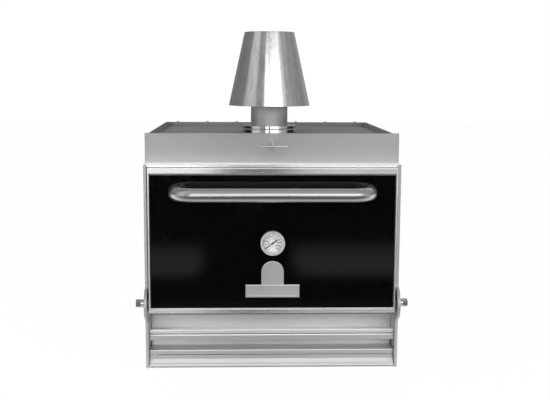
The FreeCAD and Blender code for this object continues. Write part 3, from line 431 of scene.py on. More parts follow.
def brushed_steel(
    name, tone, axis, smooth=0.30, coarse=0.40, spread=0.95, cloud=0.07, metal=1.0, bite=0.12, run=5.0,
):
    """Sheet brushed along an axis: tone, roughness range, how far highlights spread, and cloudiness."""
    material, tree = new_finish(name)
    scratches = stretched_noise(tree, along_axis(axis, run, SCRATCHES_ACROSS), detail=3.0, roughness=0.65)
    bands = stretched_noise(tree, along_axis(axis, BANDS_RUN * run, BANDS_ACROSS))
    clouds = stretched_noise(tree, CLOUD_GRAIN, detail=3.0)
    marks = blended(tree, blended(tree, scratches, bands, BANDS_SHARE), clouds, CLOUD_SHARE)
    blur = blended(tree, scratches, clouds, BLUR_SHARE)
    normal = add_node(tree, "NewGeometry").outputs["Normal"]
    square = add_node(tree, "VectorMath", normal, AXES[axis], operation="CROSS_PRODUCT").outputs[0]
    return finished(material, add_node(
        tree, "BsdfPrincipled", Metallic=metal, Anisotropic=spread, Tangent=square,
        Base_Color=tinted(tree, marks, tone * (1 - cloud), tone * (1 + cloud)),
        Roughness=scaled(tree, blur, *NOISE_SPAN, smooth, coarse),
        Normal=bumped(tree, scratches, bite, SCRATCH_DEPTH),
    ))


print("scratches about", round(1000 / SCRATCHES_ACROSS, 1), "mm wide")

# %% [markdown]
# Each sheet has its own tone and grain. Those at the front are brushed across, the sides from front to back
# and the rear upright. One finish could serve all, but then the folds would not stand out from each other.
# A few are paler copies of the steel that paint light on faces picked further on.

# %% Brushed finishes
FRONT_BRUSH = dict(smooth=0.36, coarse=0.46, spread=0.88)
LONG_BRUSH = dict(cloud=0.05, bite=0.03, run=0.8)
ROOF_BRUSH = dict(smooth=0.45, coarse=0.60, spread=0.3, metal=0.4)

hood_steel = brushed_steel("hood_steel", 0.56, "x", smooth=0.38, coarse=0.48, spread=0.86, cloud=0.12)
drawer_steel = brushed_steel("drawer_steel", 0.56, "x", **FRONT_BRUSH)
# Painted light: a paler copy of the drawer steel for the walls of the ash drawer's grip, standing in for
# light its recess lacks.
grip_painted_light_steel = brushed_steel("grip_painted_light_steel", 0.88, "x", metal=0.9, **FRONT_BRUSH)
# Painted light: a paler copy of the steel for the recessed shelf under the door, which the door shades.
shelf_painted_light_steel = brushed_steel("shelf_painted_light_steel", 0.90, "x", metal=0.85, **FRONT_BRUSH)
# Painted highlight: a paler, half-matt copy of the steel for faces that tip upward, on the drawers' slopes,
# the door frame's top and the plates.
slope_painted_highlight_steel = brushed_steel("slope_painted_highlight_steel", 0.86, "x", smooth=0.36, coarse=0.48, cloud=0.16, metal=0.5)
# Painted highlight: a near-white matt copy of the steel for faces that look up, on the shelf's ledge, the top
# rail, the ash drawer's top bend and the fence.
ledge_painted_highlight_steel = brushed_steel("ledge_painted_highlight_steel", 0.97, "x", smooth=0.42, coarse=0.54, metal=0.0, cloud=0.02)
rail_steel = brushed_steel("rail_steel", 0.94, "x", smooth=0.22, coarse=0.30, **LONG_BRUSH)
door_steel = brushed_steel("door_steel", 0.94, "x", smooth=0.18, coarse=0.26, **LONG_BRUSH)
upright_steel = brushed_steel("upright_steel", 0.60, "x")
side_steel = brushed_steel("side_steel", 0.56, "y")
back_steel = brushed_steel("back_steel", 0.56, "z")
roof_steel = brushed_steel("roof_steel", 0.23, "x", **ROOF_BRUSH)
rim_steel = brushed_steel("rim_steel", 0.11, "x", **ROOF_BRUSH)
strip_steel = brushed_steel("strip_steel", 0.94, "x", smooth=0.24, coarse=0.32, metal=0.7, **LONG_BRUSH)
# Painted light: a paler copy of the steel for the fence and the floor of the ash drawer's grip, both in the
# shade of what is over them.
fence_painted_light_steel = brushed_steel("fence_painted_light_steel", 0.72, "x", metal=0.85, **FRONT_BRUSH)
sill_steel = brushed_steel("sill_steel", 0.40, "x", **FRONT_BRUSH)
flue_steel = brushed_steel("flue_steel", 0.54, "z", smooth=0.40, coarse=0.50, spread=0.4, metal=0.85)
plate_steel = brushed_steel("plate_steel", 0.64, "x", smooth=0.36, coarse=0.50, cloud=0.16, metal=0.9)
print("brushed finishes:", [m.name for m in bpy.data.materials if m.name.endswith("_steel")])

# %% [markdown]
# Polished steel is nearly a mirror. A plain mirror would look like a computer's, so the reflections get soft,
# slightly bent edges from what real sheet has: the slow waviness of rolling and a trace of polishing lines.

# %% Polished steel
POLISH_LINES = (4.0, 380.0)
POLISH_WAVES = (4.0, 22.0)
POLISH_STREAKS = (2.5, 85.0)
STREAK_SHARE = 0.6
STRONG_SPAN = (0.3, 0.7)
WAVE_DEPTH = 0.002


def polished_steel(name, tone, axis, smooth=0.06, coarse=0.14, wave=0.10, streak=0.045, metal=1.0):
    """Polished metal with faint polishing lines along an axis and a slow waviness."""
    material, tree = new_finish(name)
    lines = stretched_noise(tree, along_axis(axis, *POLISH_LINES))
    waves = stretched_noise(tree, along_axis(axis, *POLISH_WAVES), detail=1.0)
    streaks = stretched_noise(tree, along_axis(axis, *POLISH_STREAKS))
    grain = scaled(tree, blended(tree, lines, streaks, STREAK_SHARE), *STRONG_SPAN, 0.0, 1.0)
    return finished(material, add_node(
        tree, "BsdfPrincipled", Metallic=metal,
        Base_Color=tinted(tree, grain, tone * (1 - streak), tone * (1 + streak)),
        Roughness=scaled(tree, lines, *NOISE_SPAN, smooth, coarse),
        Normal=bumped(tree, waves, wave, WAVE_DEPTH),
    ))


hat_steel = polished_steel("hat_steel", 0.66, "z", smooth=0.10, coarse=0.22, wave=0.16, streak=0.12)
chrome = polished_steel("chrome", 0.74, "z", smooth=0.05, coarse=0.10, wave=0.06)
handle_steel = polished_steel("handle_steel", 0.62, "x", smooth=0.26, coarse=0.34, wave=0.03)
# Painted shade: a darker copy of the steel for the door frame's faces that look down.
bevel_painted_shade_steel = polished_steel("bevel_painted_shade_steel", 0.50, "x", smooth=0.22, coarse=0.32, wave=0.02, metal=0.6)
pull_steel = polished_steel("pull_steel", 0.92, "x", smooth=0.05, coarse=0.10, wave=0.0)
bezel_steel = polished_steel("bezel_steel", 0.62, "z", smooth=0.26, coarse=0.36, wave=0.02, metal=0.5)
bolt_steel = polished_steel("bolt_steel", 0.70, "x", smooth=0.18, coarse=0.28, wave=0.04)
print("polished finishes ready")

# %% [markdown]
# The other finishes
#
# The door's panel is gloss enamel: black glass fired on steel, with a faint orange-peel skin. Inside, the
# plates are browned by heat, the grate is rough cast iron, and the boards are white fibre. Each could have
# its own tree, but one noise pattern, at its own scale, gives the colour, roughness and skin of them all.

# %% Enamel, plate, painted shade film, zinc sheet, wire, cast iron, fibre, rope, dial and bronze
def coated(name, low, high, grain, smooth, coarse, bump, depth, metal=0.0, detail=3.0):
    """A finish whose colour, roughness and skin all follow one noise pattern."""
    material, tree = new_finish(name)
    pattern = stretched_noise(tree, grain, detail)
    return finished(material, add_node(
        tree, "BsdfPrincipled", Metallic=metal,
        Base_Color=tinted(tree, scaled(tree, pattern, *STRONG_SPAN, 0.0, 1.0), low, high),
        Roughness=scaled(tree, pattern, *STRONG_SPAN, smooth, coarse),
        Normal=bumped(tree, pattern, bump, depth),
    ))


PLATE_BROWNS = ((0.118, 0.108, 0.097), (0.265, 0.250, 0.233))
BOARD_WHITES = ((0.62, 0.60, 0.54), (0.84, 0.82, 0.77))
ROPE_GREYS = ((0.20, 0.19, 0.18), (0.46, 0.44, 0.41))
BRONZES = ((0.26, 0.22, 0.17), (0.38, 0.33, 0.26))

black_enamel = coated("black_enamel", 0.0012, 0.0020, 70, 0.05, 0.09, 0.02, 0.0004)
# On the liners this is the brown of heat; on the door's rolled foot and the ledge's cut edge it is painted
# shade.
heat_plate_and_shade = coated("heat_plate_and_shade", *PLATE_BROWNS, (9, 9, 14), 0.42, 0.62, 0.10, 0.0004, 0.9, 6.0)
# Painted shade: a dark film for the lip under the door, standing for the shadow there.
painted_shade_film = coated("painted_shade_film", 0.070, 0.130, 60, 0.55, 0.75, 0.05, 0.0002)
zinc_sheet = coated("zinc_sheet", 0.34, 0.52, 38, 0.30, 0.48, 0.03, 0.0002, 0.95, 1.0)
rack_wire = coated("rack_wire", 0.22, 0.40, 60, 0.25, 0.45, 0.06, 0.0002, 1.0)
cast_iron = coated("cast_iron", 0.020, 0.055, 240, 0.55, 0.80, 0.35, 0.0005, 0.7, 5.0)
fibre_board = coated("fibre_board", *BOARD_WHITES, 140, 0.9, 1.0, 0.4, 0.001)
seal_rope = coated("seal_rope", *ROPE_GREYS, 320, 0.85, 1.0, 0.7, 0.0012)
dial_white = coated("dial_white", 0.64, 0.70, 90, 0.40, 0.55, 0.01, 0.0001)
dial_black = coated("dial_black", 0.010, 0.022, 300, 0.45, 0.60, 0.02, 0.0001)
bronze = coated("bronze", *BRONZES, 120, 0.25, 0.40, 0.04, 0.0002, 1.0)
print("coated finishes ready")

# %% [markdown]
# The dial's window is a disc of thin glass. Full glass would keep lamp light from the dial behind it, so most
# of it is a clear pass, and a small share of real glass gives the reflections.

# %% Lens glass
LENS_IOR = 1.45
LENS_CLEAR = 0.85
LENS_HAZE = 0.03
HAZE_GRAIN = 40

lens_glass, tree = new_finish("lens_glass")
haze = scaled(tree, stretched_noise(tree, HAZE_GRAIN), *STRONG_SPAN, 0.0, LENS_HAZE)
glass = add_node(tree, "BsdfPrincipled", WHITE, Transmission_Weight=1.0, IOR=LENS_IOR, Roughness=haze)
through = add_node(tree, "BsdfTransparent", WHITE)
finished(lens_glass, add_node(tree, "MixShader", LENS_CLEAR, glass.outputs[0], through.outputs[0]))
print(len(bpy.data.materials), "materials so far")

# %% [markdown]
# Tools for the pieces
#
# Each new piece starts as a bmesh, rides on one of the oven's bodies and says which CAD piece it stands for.
# Faces could be flat or smooth throughout. Here they are smooth except across sharp edges, and a weighted
# normal keeps wide sheets flat up to their rounded edges.

# %% Piece helpers
CRISP_ANGLE = math.radians(50)
WELD = 1e-7


def add_piece(name, mesh, material, body, slot, *replaced):
    """A piece of the oven made of a bmesh, on a body, in place of any CAD pieces named."""
    data = bpy.data.meshes.new(name)
    mesh.to_mesh(data)
    mesh.free()
    data.materials.append(material)
    data.shade_smooth()
    data.set_sharp_from_angle(angle=CRISP_ANGLE)
    made = bpy.data.objects.new(name, data)
    scene.collection.objects.link(made)
    normals = made.modifiers.new("flat_sheets", "WEIGHTED_NORMAL")
    normals.keep_sharp = True
    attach(made, body)
    if replaced:
        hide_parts(*replaced)
    return made


def rounded(mesh, edges, width, segments):
    """Bevels edges to a round of a width."""
    bmesh.ops.bevel(
        mesh, geom=edges, offset=width, offset_type="OFFSET", segments=segments, profile=0.5, affect="EDGES",
        clamp_overlap=True, material=-1,
    )
    return mesh


def soften(mesh, width, least_angle=40.0, segments=2):
    """Rounds the edges that turn by more than an angle in degrees."""
    turning = math.radians(least_angle)
    edges = [edge for edge in mesh.edges if edge.is_manifold and edge.calc_face_angle(0.0) > turning]
    return rounded(mesh, edges, width, segments)


def welded(mesh, reach=WELD):
    """Merges doubled corners and turns the faces outward."""
    bmesh.ops.remove_doubles(mesh, verts=mesh.verts, dist=reach)
    bmesh.ops.recalc_face_normals(mesh, faces=mesh.faces)
    return mesh


def turned(outline, foot, aim=(0, 0, 1), steps=72):
    """Spins an outline of (radius, height) points about a line; it closes on itself or on the line."""
    mesh = bmesh.new()
    points = [mesh.verts.new((radius, 0, height)) for radius, height in outline]
    pairs = list(zip(points, points[1:]))
    if outline[0][0] > 0:
        pairs.append((points[-1], points[0]))
    for pair in pairs:
        mesh.edges.new(pair)
    bmesh.ops.spin(
        mesh, geom=mesh.verts[:] + mesh.edges[:], cent=(0, 0, 0), axis=(0, 0, 1), angle=2 * math.pi,
        steps=steps, use_merge=True,
    )
    turn = Vector((0, 0, 1)).rotation_difference(Vector(aim)).to_matrix().to_4x4()
    bmesh.ops.transform(welded(mesh), matrix=Matrix.Translation(foot) @ turn, verts=mesh.verts)
    return mesh


def joined(meshes):
    """One bmesh of several."""
    whole = bmesh.new()
    for mesh in meshes:
        held = bpy.data.meshes.new("held")
        mesh.to_mesh(held)
        mesh.free()
        whole.from_mesh(held)
        bpy.data.meshes.remove(held)
    return whole


print("piece helpers ready")

# %% [markdown]
# Sheets with broken edges
#
# A cut sheet is never left razor sharp: a file or a tumbler breaks its edges, and that thin round is what
# catches the light along every fold and opening. The CAD sheets have the right folds but knife edges, so each
# visible one is copied, its triangles are merged into flat faces, and its sharp edges are bevelled.

# %% The visible sheets and fittings
# Finish, body, slot, width of the broken edge, and the CAD pieces
DRESSED = (
    (upright_steel, "oven", "brushed_steel", 0.0010, "cheek_left cheek_right"),
    (side_steel, "oven", "brushed_steel", 0.0006, "side_panel_left side_panel_right"),
    (back_steel, "oven", "brushed_steel", 0.0006, "back_panel"),
    (rail_steel, "oven", "brushed_steel", 0.0005, "top_rail"),
    (side_steel, "oven", "brushed_steel", 0.0006, "hood_wrap"),
    (roof_steel, "oven", "brushed_steel", 0.0005, "roof_tray"),
    (hood_steel, "oven", "brushed_steel", 0.0005, "hood_fascia"),
    # The shelf under the door takes the paler finish of painted light.
    (shelf_painted_light_steel, "oven", "brushed_steel", 0.0005, "ember_shelf"),
    (drawer_steel, "ash_drawer", "brushed_steel", 0.0005, "ash_drawer_front"),
    (drawer_steel, "air_drawer", "brushed_steel", 0.0005, "air_drawer_front"),
    (door_steel, "door", "brushed_steel", 0.0005, "door_frame"),
    (plate_steel, "door", "polished_steel", 0.0012, "nameplate badge"),
    (bolt_steel, "oven", "polished_steel", 0.0008, "pivot_bolts"),
    (bolt_steel, "oven", "polished_steel", 0.0006, "pivot_washers"),
    (pull_steel, "damper", "polished_steel", 0.0008, "damper_pull"),
    (cast_iron, "oven", "cast_iron", 0.0015, "charcoal_grate"),
)
SHEET_WELD = 1e-6
FLAT_ANGLE = math.radians(0.5)


def sheet_copy(name):
    """A CAD piece's mesh with its triangles merged into whole faces."""
    mesh = bmesh.new()
    mesh.from_mesh(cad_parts[name].data)
    bmesh.ops.remove_doubles(mesh, verts=mesh.verts, dist=SHEET_WELD)
    bmesh.ops.dissolve_limit(mesh, angle_limit=FLAT_ANGLE, verts=mesh.verts, edges=mesh.edges)
    return mesh


print(len(DRESSED), "rows of pieces to dress")

# %% [markdown]
# Three pieces need a step before their edges are broken. The door's frame is rolled over along its top and
# foot, so those edges get a wider round. The draught drawer's slope has a shallow crease pressed along it,
# which keeps thin sheet straight: it could be a cut groove, but two cuts and an inset bend the sheet as a
# press does. The rod of the flue gate turns freely in its bush, so it rests a little off the CAD angle.

# %% Rolled edges, pressed crease and turned rod
ROLLED_EDGE = 0.0028
LEVEL_WITHIN = 1e-5
EDGE_WITHIN = 1e-4
CREASE_LOW = 0.0118
CREASE_HIGH = 0.0144
CREASE_WALL = 0.0008
CREASE_DEEP = 0.0006
SLOPE_FROM, SLOPE_TO = 0.25, 0.95
ROD_TURN = math.radians(1.7)
frame_low, frame_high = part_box("door_frame")
bush_low, bush_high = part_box("rod_bush")
rod_z = (bush_low.z + bush_high.z) / 2


def is_sloped(normal):
    """Whether a face looks up at a slant, as a slope or a bend does."""
    return SLOPE_FROM < normal.z < SLOPE_TO


def in_crease(normal, spot):
    """Whether a face is on the slope, at the height of the crease."""
    return is_sloped(normal) and CREASE_LOW < spot.z < CREASE_HIGH


def roll_edges(mesh, front_y, heights):
    """Rounds the level front edges at given heights more fully than a piece's other edges."""
    picked = []
    for edge in mesh.edges:
        first, second = (corner.co for corner in edge.verts)
        middle = (first + second) / 2
        at_height = min(abs(middle.z - height) for height in heights) < EDGE_WITHIN
        if at_height and abs(first.z - second.z) < LEVEL_WITHIN and abs(middle.y - front_y) < EDGE_WITHIN:
            picked.append(edge)
    return rounded(mesh, picked, ROLLED_EDGE, 4)


def roll_frame(mesh):
    """Rolls the top and the foot of the door's frame."""
    roll_edges(mesh, frame_low.y, (frame_low.z, frame_high.z))


def press_crease(mesh):
    """Presses a shallow groove along the slope of the draught drawer's front."""
    for height in (CREASE_LOW, CREASE_HIGH):
        bmesh.ops.bisect_plane(
            mesh, geom=mesh.verts[:] + mesh.edges[:] + mesh.faces[:], dist=SHEET_WELD,
            plane_co=(0, 0, height), plane_no=(0, 0, 1),
        )
    strip = [face for face in mesh.faces if in_crease(face.normal, face.calc_center_median())]
    bmesh.ops.inset_region(mesh, faces=strip, thickness=CREASE_WALL, depth=-CREASE_DEEP, use_even_offset=True)


def turn_rod(mesh):
    """Turns the rod of the flue gate, with its bar, in the bush."""
    turn = Matrix.Rotation(ROD_TURN, 3, "Y")
    bmesh.ops.rotate(mesh, verts=mesh.verts, cent=(0, 0, rod_z), matrix=turn)


FIRST_STEPS = {"door_frame": roll_frame, "air_drawer_front": press_crease, "damper_pull": turn_rod}
dressed = {}
for finish, body, slot, edge_width, names in DRESSED:
    for name in names.split():
        mesh = sheet_copy(name)
        if name in FIRST_STEPS:
            FIRST_STEPS[name](mesh)
        soften(mesh, edge_width)
        dressed[name] = add_piece(name + "_dressed", mesh, finish, body, slot, name)
print("broken edges on", len(dressed), "pieces")

# %% [markdown]
# Many folded sheets have more than one finish, and most of these are painted light and shade. Faces that
# look up, on ledges, bends and slopes, are painted paler as painted highlights, and the walls and floor of
# the ash drawer's grip are painted paler as painted light in their recess. The door frame's bevel that looks
# down, the door's foot and the ledge's cut edge are painted dark as painted shade. Each could be a piece of
# its own, but a real sheet is one piece, so its faces are picked by where they are and which way they look.

# %% Second finishes on folded faces
# How far a normal points along an axis: square on, flat on, halfway, tipped and just tipped
SQUARE_ON, FLAT_ON, HALFWAY, TIPPED, JUST_TIPPED = 0.8, 0.9, 0.5, 0.3, 0.2
ROLL_FROM, ROLL_TO = -0.97, -0.15
CUT_EDGE = 0.002
GRIP_DEEP = 0.003
BEND_DEEP = 0.006
RIM_DEEP = 0.004
STRIP_HIGH = 0.020


def refinished(name, material, test):
    """Gives the faces of a dressed piece that pass a test another finish."""
    data = dressed[name].data
    data.materials.append(material)
    picked = [face for face in data.polygons if test(face.normal, face.center)]
    for face in picked:
        face.material_index = len(data.materials) - 1
    print(name, len(picked), "faces in", material.name)


def looks_up(normal, spot):
    """Whether a face is level or nearly so, wherever it is."""
    return normal.z > SQUARE_ON


def is_tipped(normal, spot):
    """Whether a face looks up by a fair amount, wherever it is."""
    return normal.z > TIPPED


shelf_low, shelf_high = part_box("ember_shelf")
ash_low, ash_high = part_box("ash_drawer_front")
roof_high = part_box("roof_tray")[1]
cut_y = shelf_low.y + CUT_EDGE
grip_y = ash_low.y + GRIP_DEEP
bend_z = ash_high.z - BEND_DEEP
rim_z = roof_high.z - RIM_DEEP
strip_z = frame_low.z + STRIP_HIGH
roll_z = frame_low.z + ROLLED_EDGE
SECOND_FINISHES = (
    # Painted highlight on the tops of the ledge and the rail, painted shade at the ledge's cut edge
    ("ember_shelf", ledge_painted_highlight_steel, looks_up),
    ("ember_shelf", heat_plate_and_shade, lambda way, spot: spot.y < cut_y and way.z < HALFWAY),
    ("top_rail", ledge_painted_highlight_steel, looks_up),
    ("roof_tray", rim_steel, lambda way, spot: way.z > SQUARE_ON and spot.z > rim_z),
    ("door_frame", strip_steel, lambda way, spot: way.y < -SQUARE_ON and spot.z < strip_z),
    # Painted highlight on the draught drawer's slope; its crease keeps the shelf's painted-light finish
    # instead
    ("air_drawer_front", slope_painted_highlight_steel, lambda way, spot: is_sloped(way)),
    ("air_drawer_front", shelf_painted_light_steel, in_crease),
    ("air_drawer_front", sill_steel, lambda way, spot: way.y < -FLAT_ON and spot.z < CREASE_LOW),
    # Painted light in the ash drawer's grip, and painted highlight on its slope and top bend
    ("ash_drawer_front", grip_painted_light_steel, lambda way, spot: spot.y > grip_y and way.z < HALFWAY),
    ("ash_drawer_front", fence_painted_light_steel, lambda way, spot: spot.y > grip_y and way.z >= HALFWAY),
    ("ash_drawer_front", slope_painted_highlight_steel, lambda way, spot: is_sloped(way) and spot.y < grip_y),
    ("ash_drawer_front", ledge_painted_highlight_steel, lambda way, spot: is_sloped(way) and spot.z > bend_z),
    # Painted shade on the door frame's down-facing bevel and rolled foot, painted highlight on its top
    ("door_frame", bevel_painted_shade_steel, lambda way, spot: way.z < -TIPPED and way.y < -TIPPED),
    ("door_frame", slope_painted_highlight_steel, lambda way, spot: way.z > TIPPED and way.y < -JUST_TIPPED),
    ("door_frame", heat_plate_and_shade, lambda way, spot: ROLL_FROM < way.z < ROLL_TO and spot.z < roll_z),
    # Painted highlight on the faces of the plates that look up
    ("nameplate", slope_painted_highlight_steel, is_tipped),
    ("badge", slope_painted_highlight_steel, is_tipped),
)
for row in SECOND_FINISHES:
    refinished(*row)

# %% [markdown]
# Two strips of thin trim are folded and then fixed on. A low fence along the front of the ledge keeps embers
# from rolling off, and a thin dark lip under the door is painted shade: its dark film stands for the shadow
# under the door. Boxes could be joined for each, but a section drawn as one face and pushed across the oven
# has its folds.

# %% Ember fence and dark lip of painted shade
FENCE_HIGH = 0.012
FENCE_SHEET = 0.0015
FENCE_HEM = 0.005
FENCE_EDGE = 0.0004
LEDGE_SHEET = 0.002
LIP_DROP = 0.0035
LIP_SHEET = 0.0015
LIP_BACK = 0.012
LIP_INSET = 0.0028
LIP_EDGE = 0.0003


def folded_strip(section, half_width):
    """A strip with a section of (y, z) points, pushed across the oven."""
    mesh = bmesh.new()
    end = mesh.faces.new([mesh.verts.new((-half_width, y, z)) for y, z in section])
    pushed_out = bmesh.ops.extrude_face_region(mesh, geom=[end])["geom"]
    corners = [item for item in pushed_out if isinstance(item, bmesh.types.BMVert)]
    bmesh.ops.translate(mesh, verts=corners, vec=(2 * half_width, 0, 0))
    bmesh.ops.recalc_face_normals(mesh, faces=mesh.faces)
    return mesh


fence_y = shelf_low.y
fence_foot = shelf_low.z + LEDGE_SHEET
fence_top = fence_foot + FENCE_HIGH
fence_section = (
    (fence_y, fence_foot), (fence_y, fence_top), (fence_y + FENCE_HEM, fence_top),
    (fence_y + FENCE_HEM, fence_top - FENCE_HEM), (fence_y + FENCE_SHEET, fence_top - FENCE_HEM),
    (fence_y + FENCE_SHEET, fence_foot),
)
mesh = roll_edges(folded_strip(fence_section, shelf_high.x - FENCE_SHEET), fence_y, (fence_top,))
soften(mesh, FENCE_EDGE)
dressed["ember_fence"] = add_piece("ember_fence", mesh, fence_painted_light_steel, "oven", "brushed_steel")
# Painted highlight on the fence's top
refinished("ember_fence", ledge_painted_highlight_steel, is_tipped)

lip_y = frame_low.y + LIP_INSET
lip_foot = frame_low.z - LIP_DROP
lip_fold = frame_low.z - LIP_SHEET
lip_section = (
    (lip_y, frame_low.z), (lip_y, lip_foot), (lip_y + LIP_SHEET, lip_foot), (lip_y + LIP_SHEET, lip_fold),
    (lip_y + LIP_BACK, lip_fold), (lip_y + LIP_BACK, frame_low.z),
)
mesh = soften(folded_strip(lip_section, frame_high.x - LIP_INSET), LIP_EDGE)
# The lip's dark film is painted shade for the shadow under the door.
add_piece("door_lip_painted_shade", mesh, painted_shade_film, "door", "brushed_steel")
print("fence", round(1000 * FENCE_HIGH), "mm high, lip", round(1000 * LIP_DROP, 1), "mm deep")

# %% [markdown]
# The hat
#
# The hat is an open cone of polished sheet, rolled and joined by a strip down its rear. Its two rims are
# folded in to stiffen them. A cone could be tapered from a cylinder, but spinning the sheet's own section
# gives its thickness and both rims in one step.

# %% Hat
HAT_SHEET = 0.0015
HAT_HEM = 0.0045
HAT_LEAN = 0.056 / 0.256
HAT_EDGE = 0.0006
FINE_STEPS = 128
hat_low, hat_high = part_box("hat_cone")
hat_y = (hat_low.y + hat_high.y) / 2
hat_foot = hat_high.x
hat_tall = hat_high.z - hat_low.z
hem_lean = HAT_LEAN * HAT_HEM


def hat_radius(height):
    """The radius of the hat's outside at a height over its lower rim."""
    return hat_foot - HAT_LEAN * height


hat_head = hat_radius(hat_tall)
hat_section = (
    (hat_foot, 0), (hat_head, hat_tall), (hat_head - HAT_HEM, hat_tall),
    (hat_head - HAT_HEM + hem_lean, hat_tall - HAT_HEM),
    (hat_head - HAT_SHEET + hem_lean, hat_tall - HAT_HEM),
    (hat_foot - HAT_SHEET - hem_lean, HAT_HEM), (hat_foot - HAT_HEM - hem_lean, HAT_HEM),
    (hat_foot - HAT_HEM, 0),
)
mesh = turned(hat_section, (0, hat_y, hat_low.z), steps=FINE_STEPS)
soften(mesh, HAT_EDGE, least_angle=25.0)
add_piece("hat_spun", mesh, hat_steel, "oven", "polished_steel", "hat_cone")
print("hat from", round(hat_foot, 4), "to", round(hat_head, 4), "m radius")

# %% [markdown]
# The cone is closed at the rear by a strip that is held by pop rivets. A flat strip would stand off the cone,
# so this one is a short piece of the same spin. A pop rivet is a low dome with a small hole where its pin
# broke off. One is spun, and copies of it hold the strip here and the casing's sheets further on.

# %% Seam strip and rivets of the hat
RIVET = (
    (0.0, 0.0011), (0.0011, 0.0011), (0.0011, 0.0019), (0.0024, 0.0017), (0.0035, 0.0010), (0.0039, 0.0003),
    (0.0039, -0.0004), (0.0, -0.0004),
)
SEAM_PROUD = 0.0009
SEAM_INSET = 0.008
SEAM_TURN = math.radians(9)
SEAM_RIVETS = 6
FIRST_RIVET = 0.06


def rivet_at(spot, aim):
    """A pop rivet on a surface that faces a direction."""
    return turned(RIVET, spot, aim, steps=20)


mesh = bmesh.new()
seam_foot, seam_head = SEAM_INSET, hat_tall - SEAM_INSET
for height, proud in ((seam_foot, 0), (seam_foot, SEAM_PROUD), (seam_head, SEAM_PROUD), (seam_head, 0)):
    mesh.verts.new((hat_radius(height) + proud, 0, height))
bmesh.ops.contextual_create(mesh, geom=mesh.verts)
bmesh.ops.rotate(mesh, verts=mesh.verts, matrix=Matrix.Rotation((math.pi - SEAM_TURN) / 2, 3, "Z"))
bmesh.ops.spin(
    mesh, geom=mesh.verts[:] + mesh.edges[:] + mesh.faces[:], cent=(0, 0, 0), axis=(0, 0, 1),
    angle=SEAM_TURN, steps=8,
)
bmesh.ops.recalc_face_normals(mesh, faces=mesh.faces)
bmesh.ops.translate(mesh, verts=mesh.verts, vec=(0, hat_y, hat_low.z))
add_piece("hat_seam", mesh, hat_steel, "oven", "polished_steel")

outward = Vector((0, 1, HAT_LEAN)).normalized()
rivets = []
for index in range(SEAM_RIVETS):
    height = hat_tall * (FIRST_RIVET + (1 - 2 * FIRST_RIVET) * index / (SEAM_RIVETS - 1))
    rivets.append(rivet_at((0, hat_y + hat_radius(height) + SEAM_PROUD, hat_low.z + height), outward))
add_piece("hat_rivets", joined(rivets), bolt_steel, "oven", "polished_steel")
print("seam strip with", SEAM_RIVETS, "rivets")

# %% [markdown]
# The collar
#
# A bright collar covers the hole where the pipe goes through the roof. It is a deep ring with a groove round
# its middle, and its two bands taper a little, so each shows its own row of reflections. Two rings could be
# stacked, but one spin gives all its edges, which are circles.

# %% Collar
COLLAR_SHEET = 0.002
COLLAR_WALL = 0.006
COLLAR_GROOVE = 0.0016
COLLAR_TAPER = 0.12
COLLAR_EDGE = 0.0012
GROOVE_DOWN = 0.011
FIT_GAP = 0.0003
collar_low, collar_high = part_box("flue_collar")
collar_wide = collar_high.x
collar_tall = collar_high.z - collar_low.z
collar_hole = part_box("flue_pipe")[1].x + FIT_GAP
groove_height = collar_tall - GROOVE_DOWN
low_band = groove_height - COLLAR_GROOVE
high_band = collar_tall - groove_height - COLLAR_GROOVE
low_wide = collar_wide - COLLAR_TAPER * low_band
collar_section = (
    (collar_wide - COLLAR_SHEET, 0), (collar_wide, 0), (low_wide, low_band),
    (low_wide - COLLAR_GROOVE, groove_height), (collar_wide, groove_height + COLLAR_GROOVE),
    (collar_wide - COLLAR_TAPER * high_band, collar_tall), (collar_hole, collar_tall),
    (collar_hole, collar_tall - COLLAR_SHEET), (collar_wide - COLLAR_WALL, collar_tall - COLLAR_SHEET),
)
mesh = turned(collar_section, (0, hat_y, collar_low.z), steps=FINE_STEPS)
soften(mesh, COLLAR_EDGE, least_angle=30.0, segments=3)
add_piece("collar_spun", mesh, chrome, "oven", "polished_steel", "flue_collar")
print("collar", round(2000 * collar_wide), "mm across")

# %% [markdown]
# The handle
#
# The handle is one polished tube with two bends, and each leg stands in a black rosette, the ring that covers
# its hole. A tube could be a curve with a bevel. Here a circle is pushed along the way that a bender works:
# straight out of the door, round the first bend, along the bar, round the second bend and straight back.

# %% Handle and rosettes
HANDLE_BEND = 0.058
TUBE_SIDES = 64
ROSETTE_WIDE = 0.025
ROSETTE_THICK = 0.006
ROSETTE_EDGE = 0.0014
FORWARD = (0, -1, 0)


def pushed(mesh, ring, way):
    """Extrudes a ring of edges along a vector and returns the new ring."""
    made = bmesh.ops.extrude_edge_only(mesh, edges=ring)["geom"]
    corners = {item for item in made if isinstance(item, bmesh.types.BMVert)}
    bmesh.ops.translate(mesh, verts=list(corners), vec=way)
    return [item for item in made if isinstance(item, bmesh.types.BMEdge) and corners.issuperset(item.verts)]


def bent(mesh, ring, centre, axis, steps=16):
    """Spins a ring of edges through a right angle about a line and returns the new ring."""
    corners = list({corner for edge in ring for corner in edge.verts})
    last = bmesh.ops.spin(
        mesh, geom=corners + ring, cent=centre, axis=axis, angle=math.pi / 2, steps=steps,
    )["geom_last"]
    return [item for item in last if isinstance(item, bmesh.types.BMEdge)]


handle_low, handle_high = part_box("door_handle")
tube_radius = (handle_high.z - handle_low.z) / 2
tube_z = (handle_high.z + handle_low.z) / 2
leg_x = handle_high.x - tube_radius
bar_y = handle_low.y + tube_radius
panel_y = handle_high.y
leg_run = Vector((0, panel_y - bar_y - HANDLE_BEND, 0))

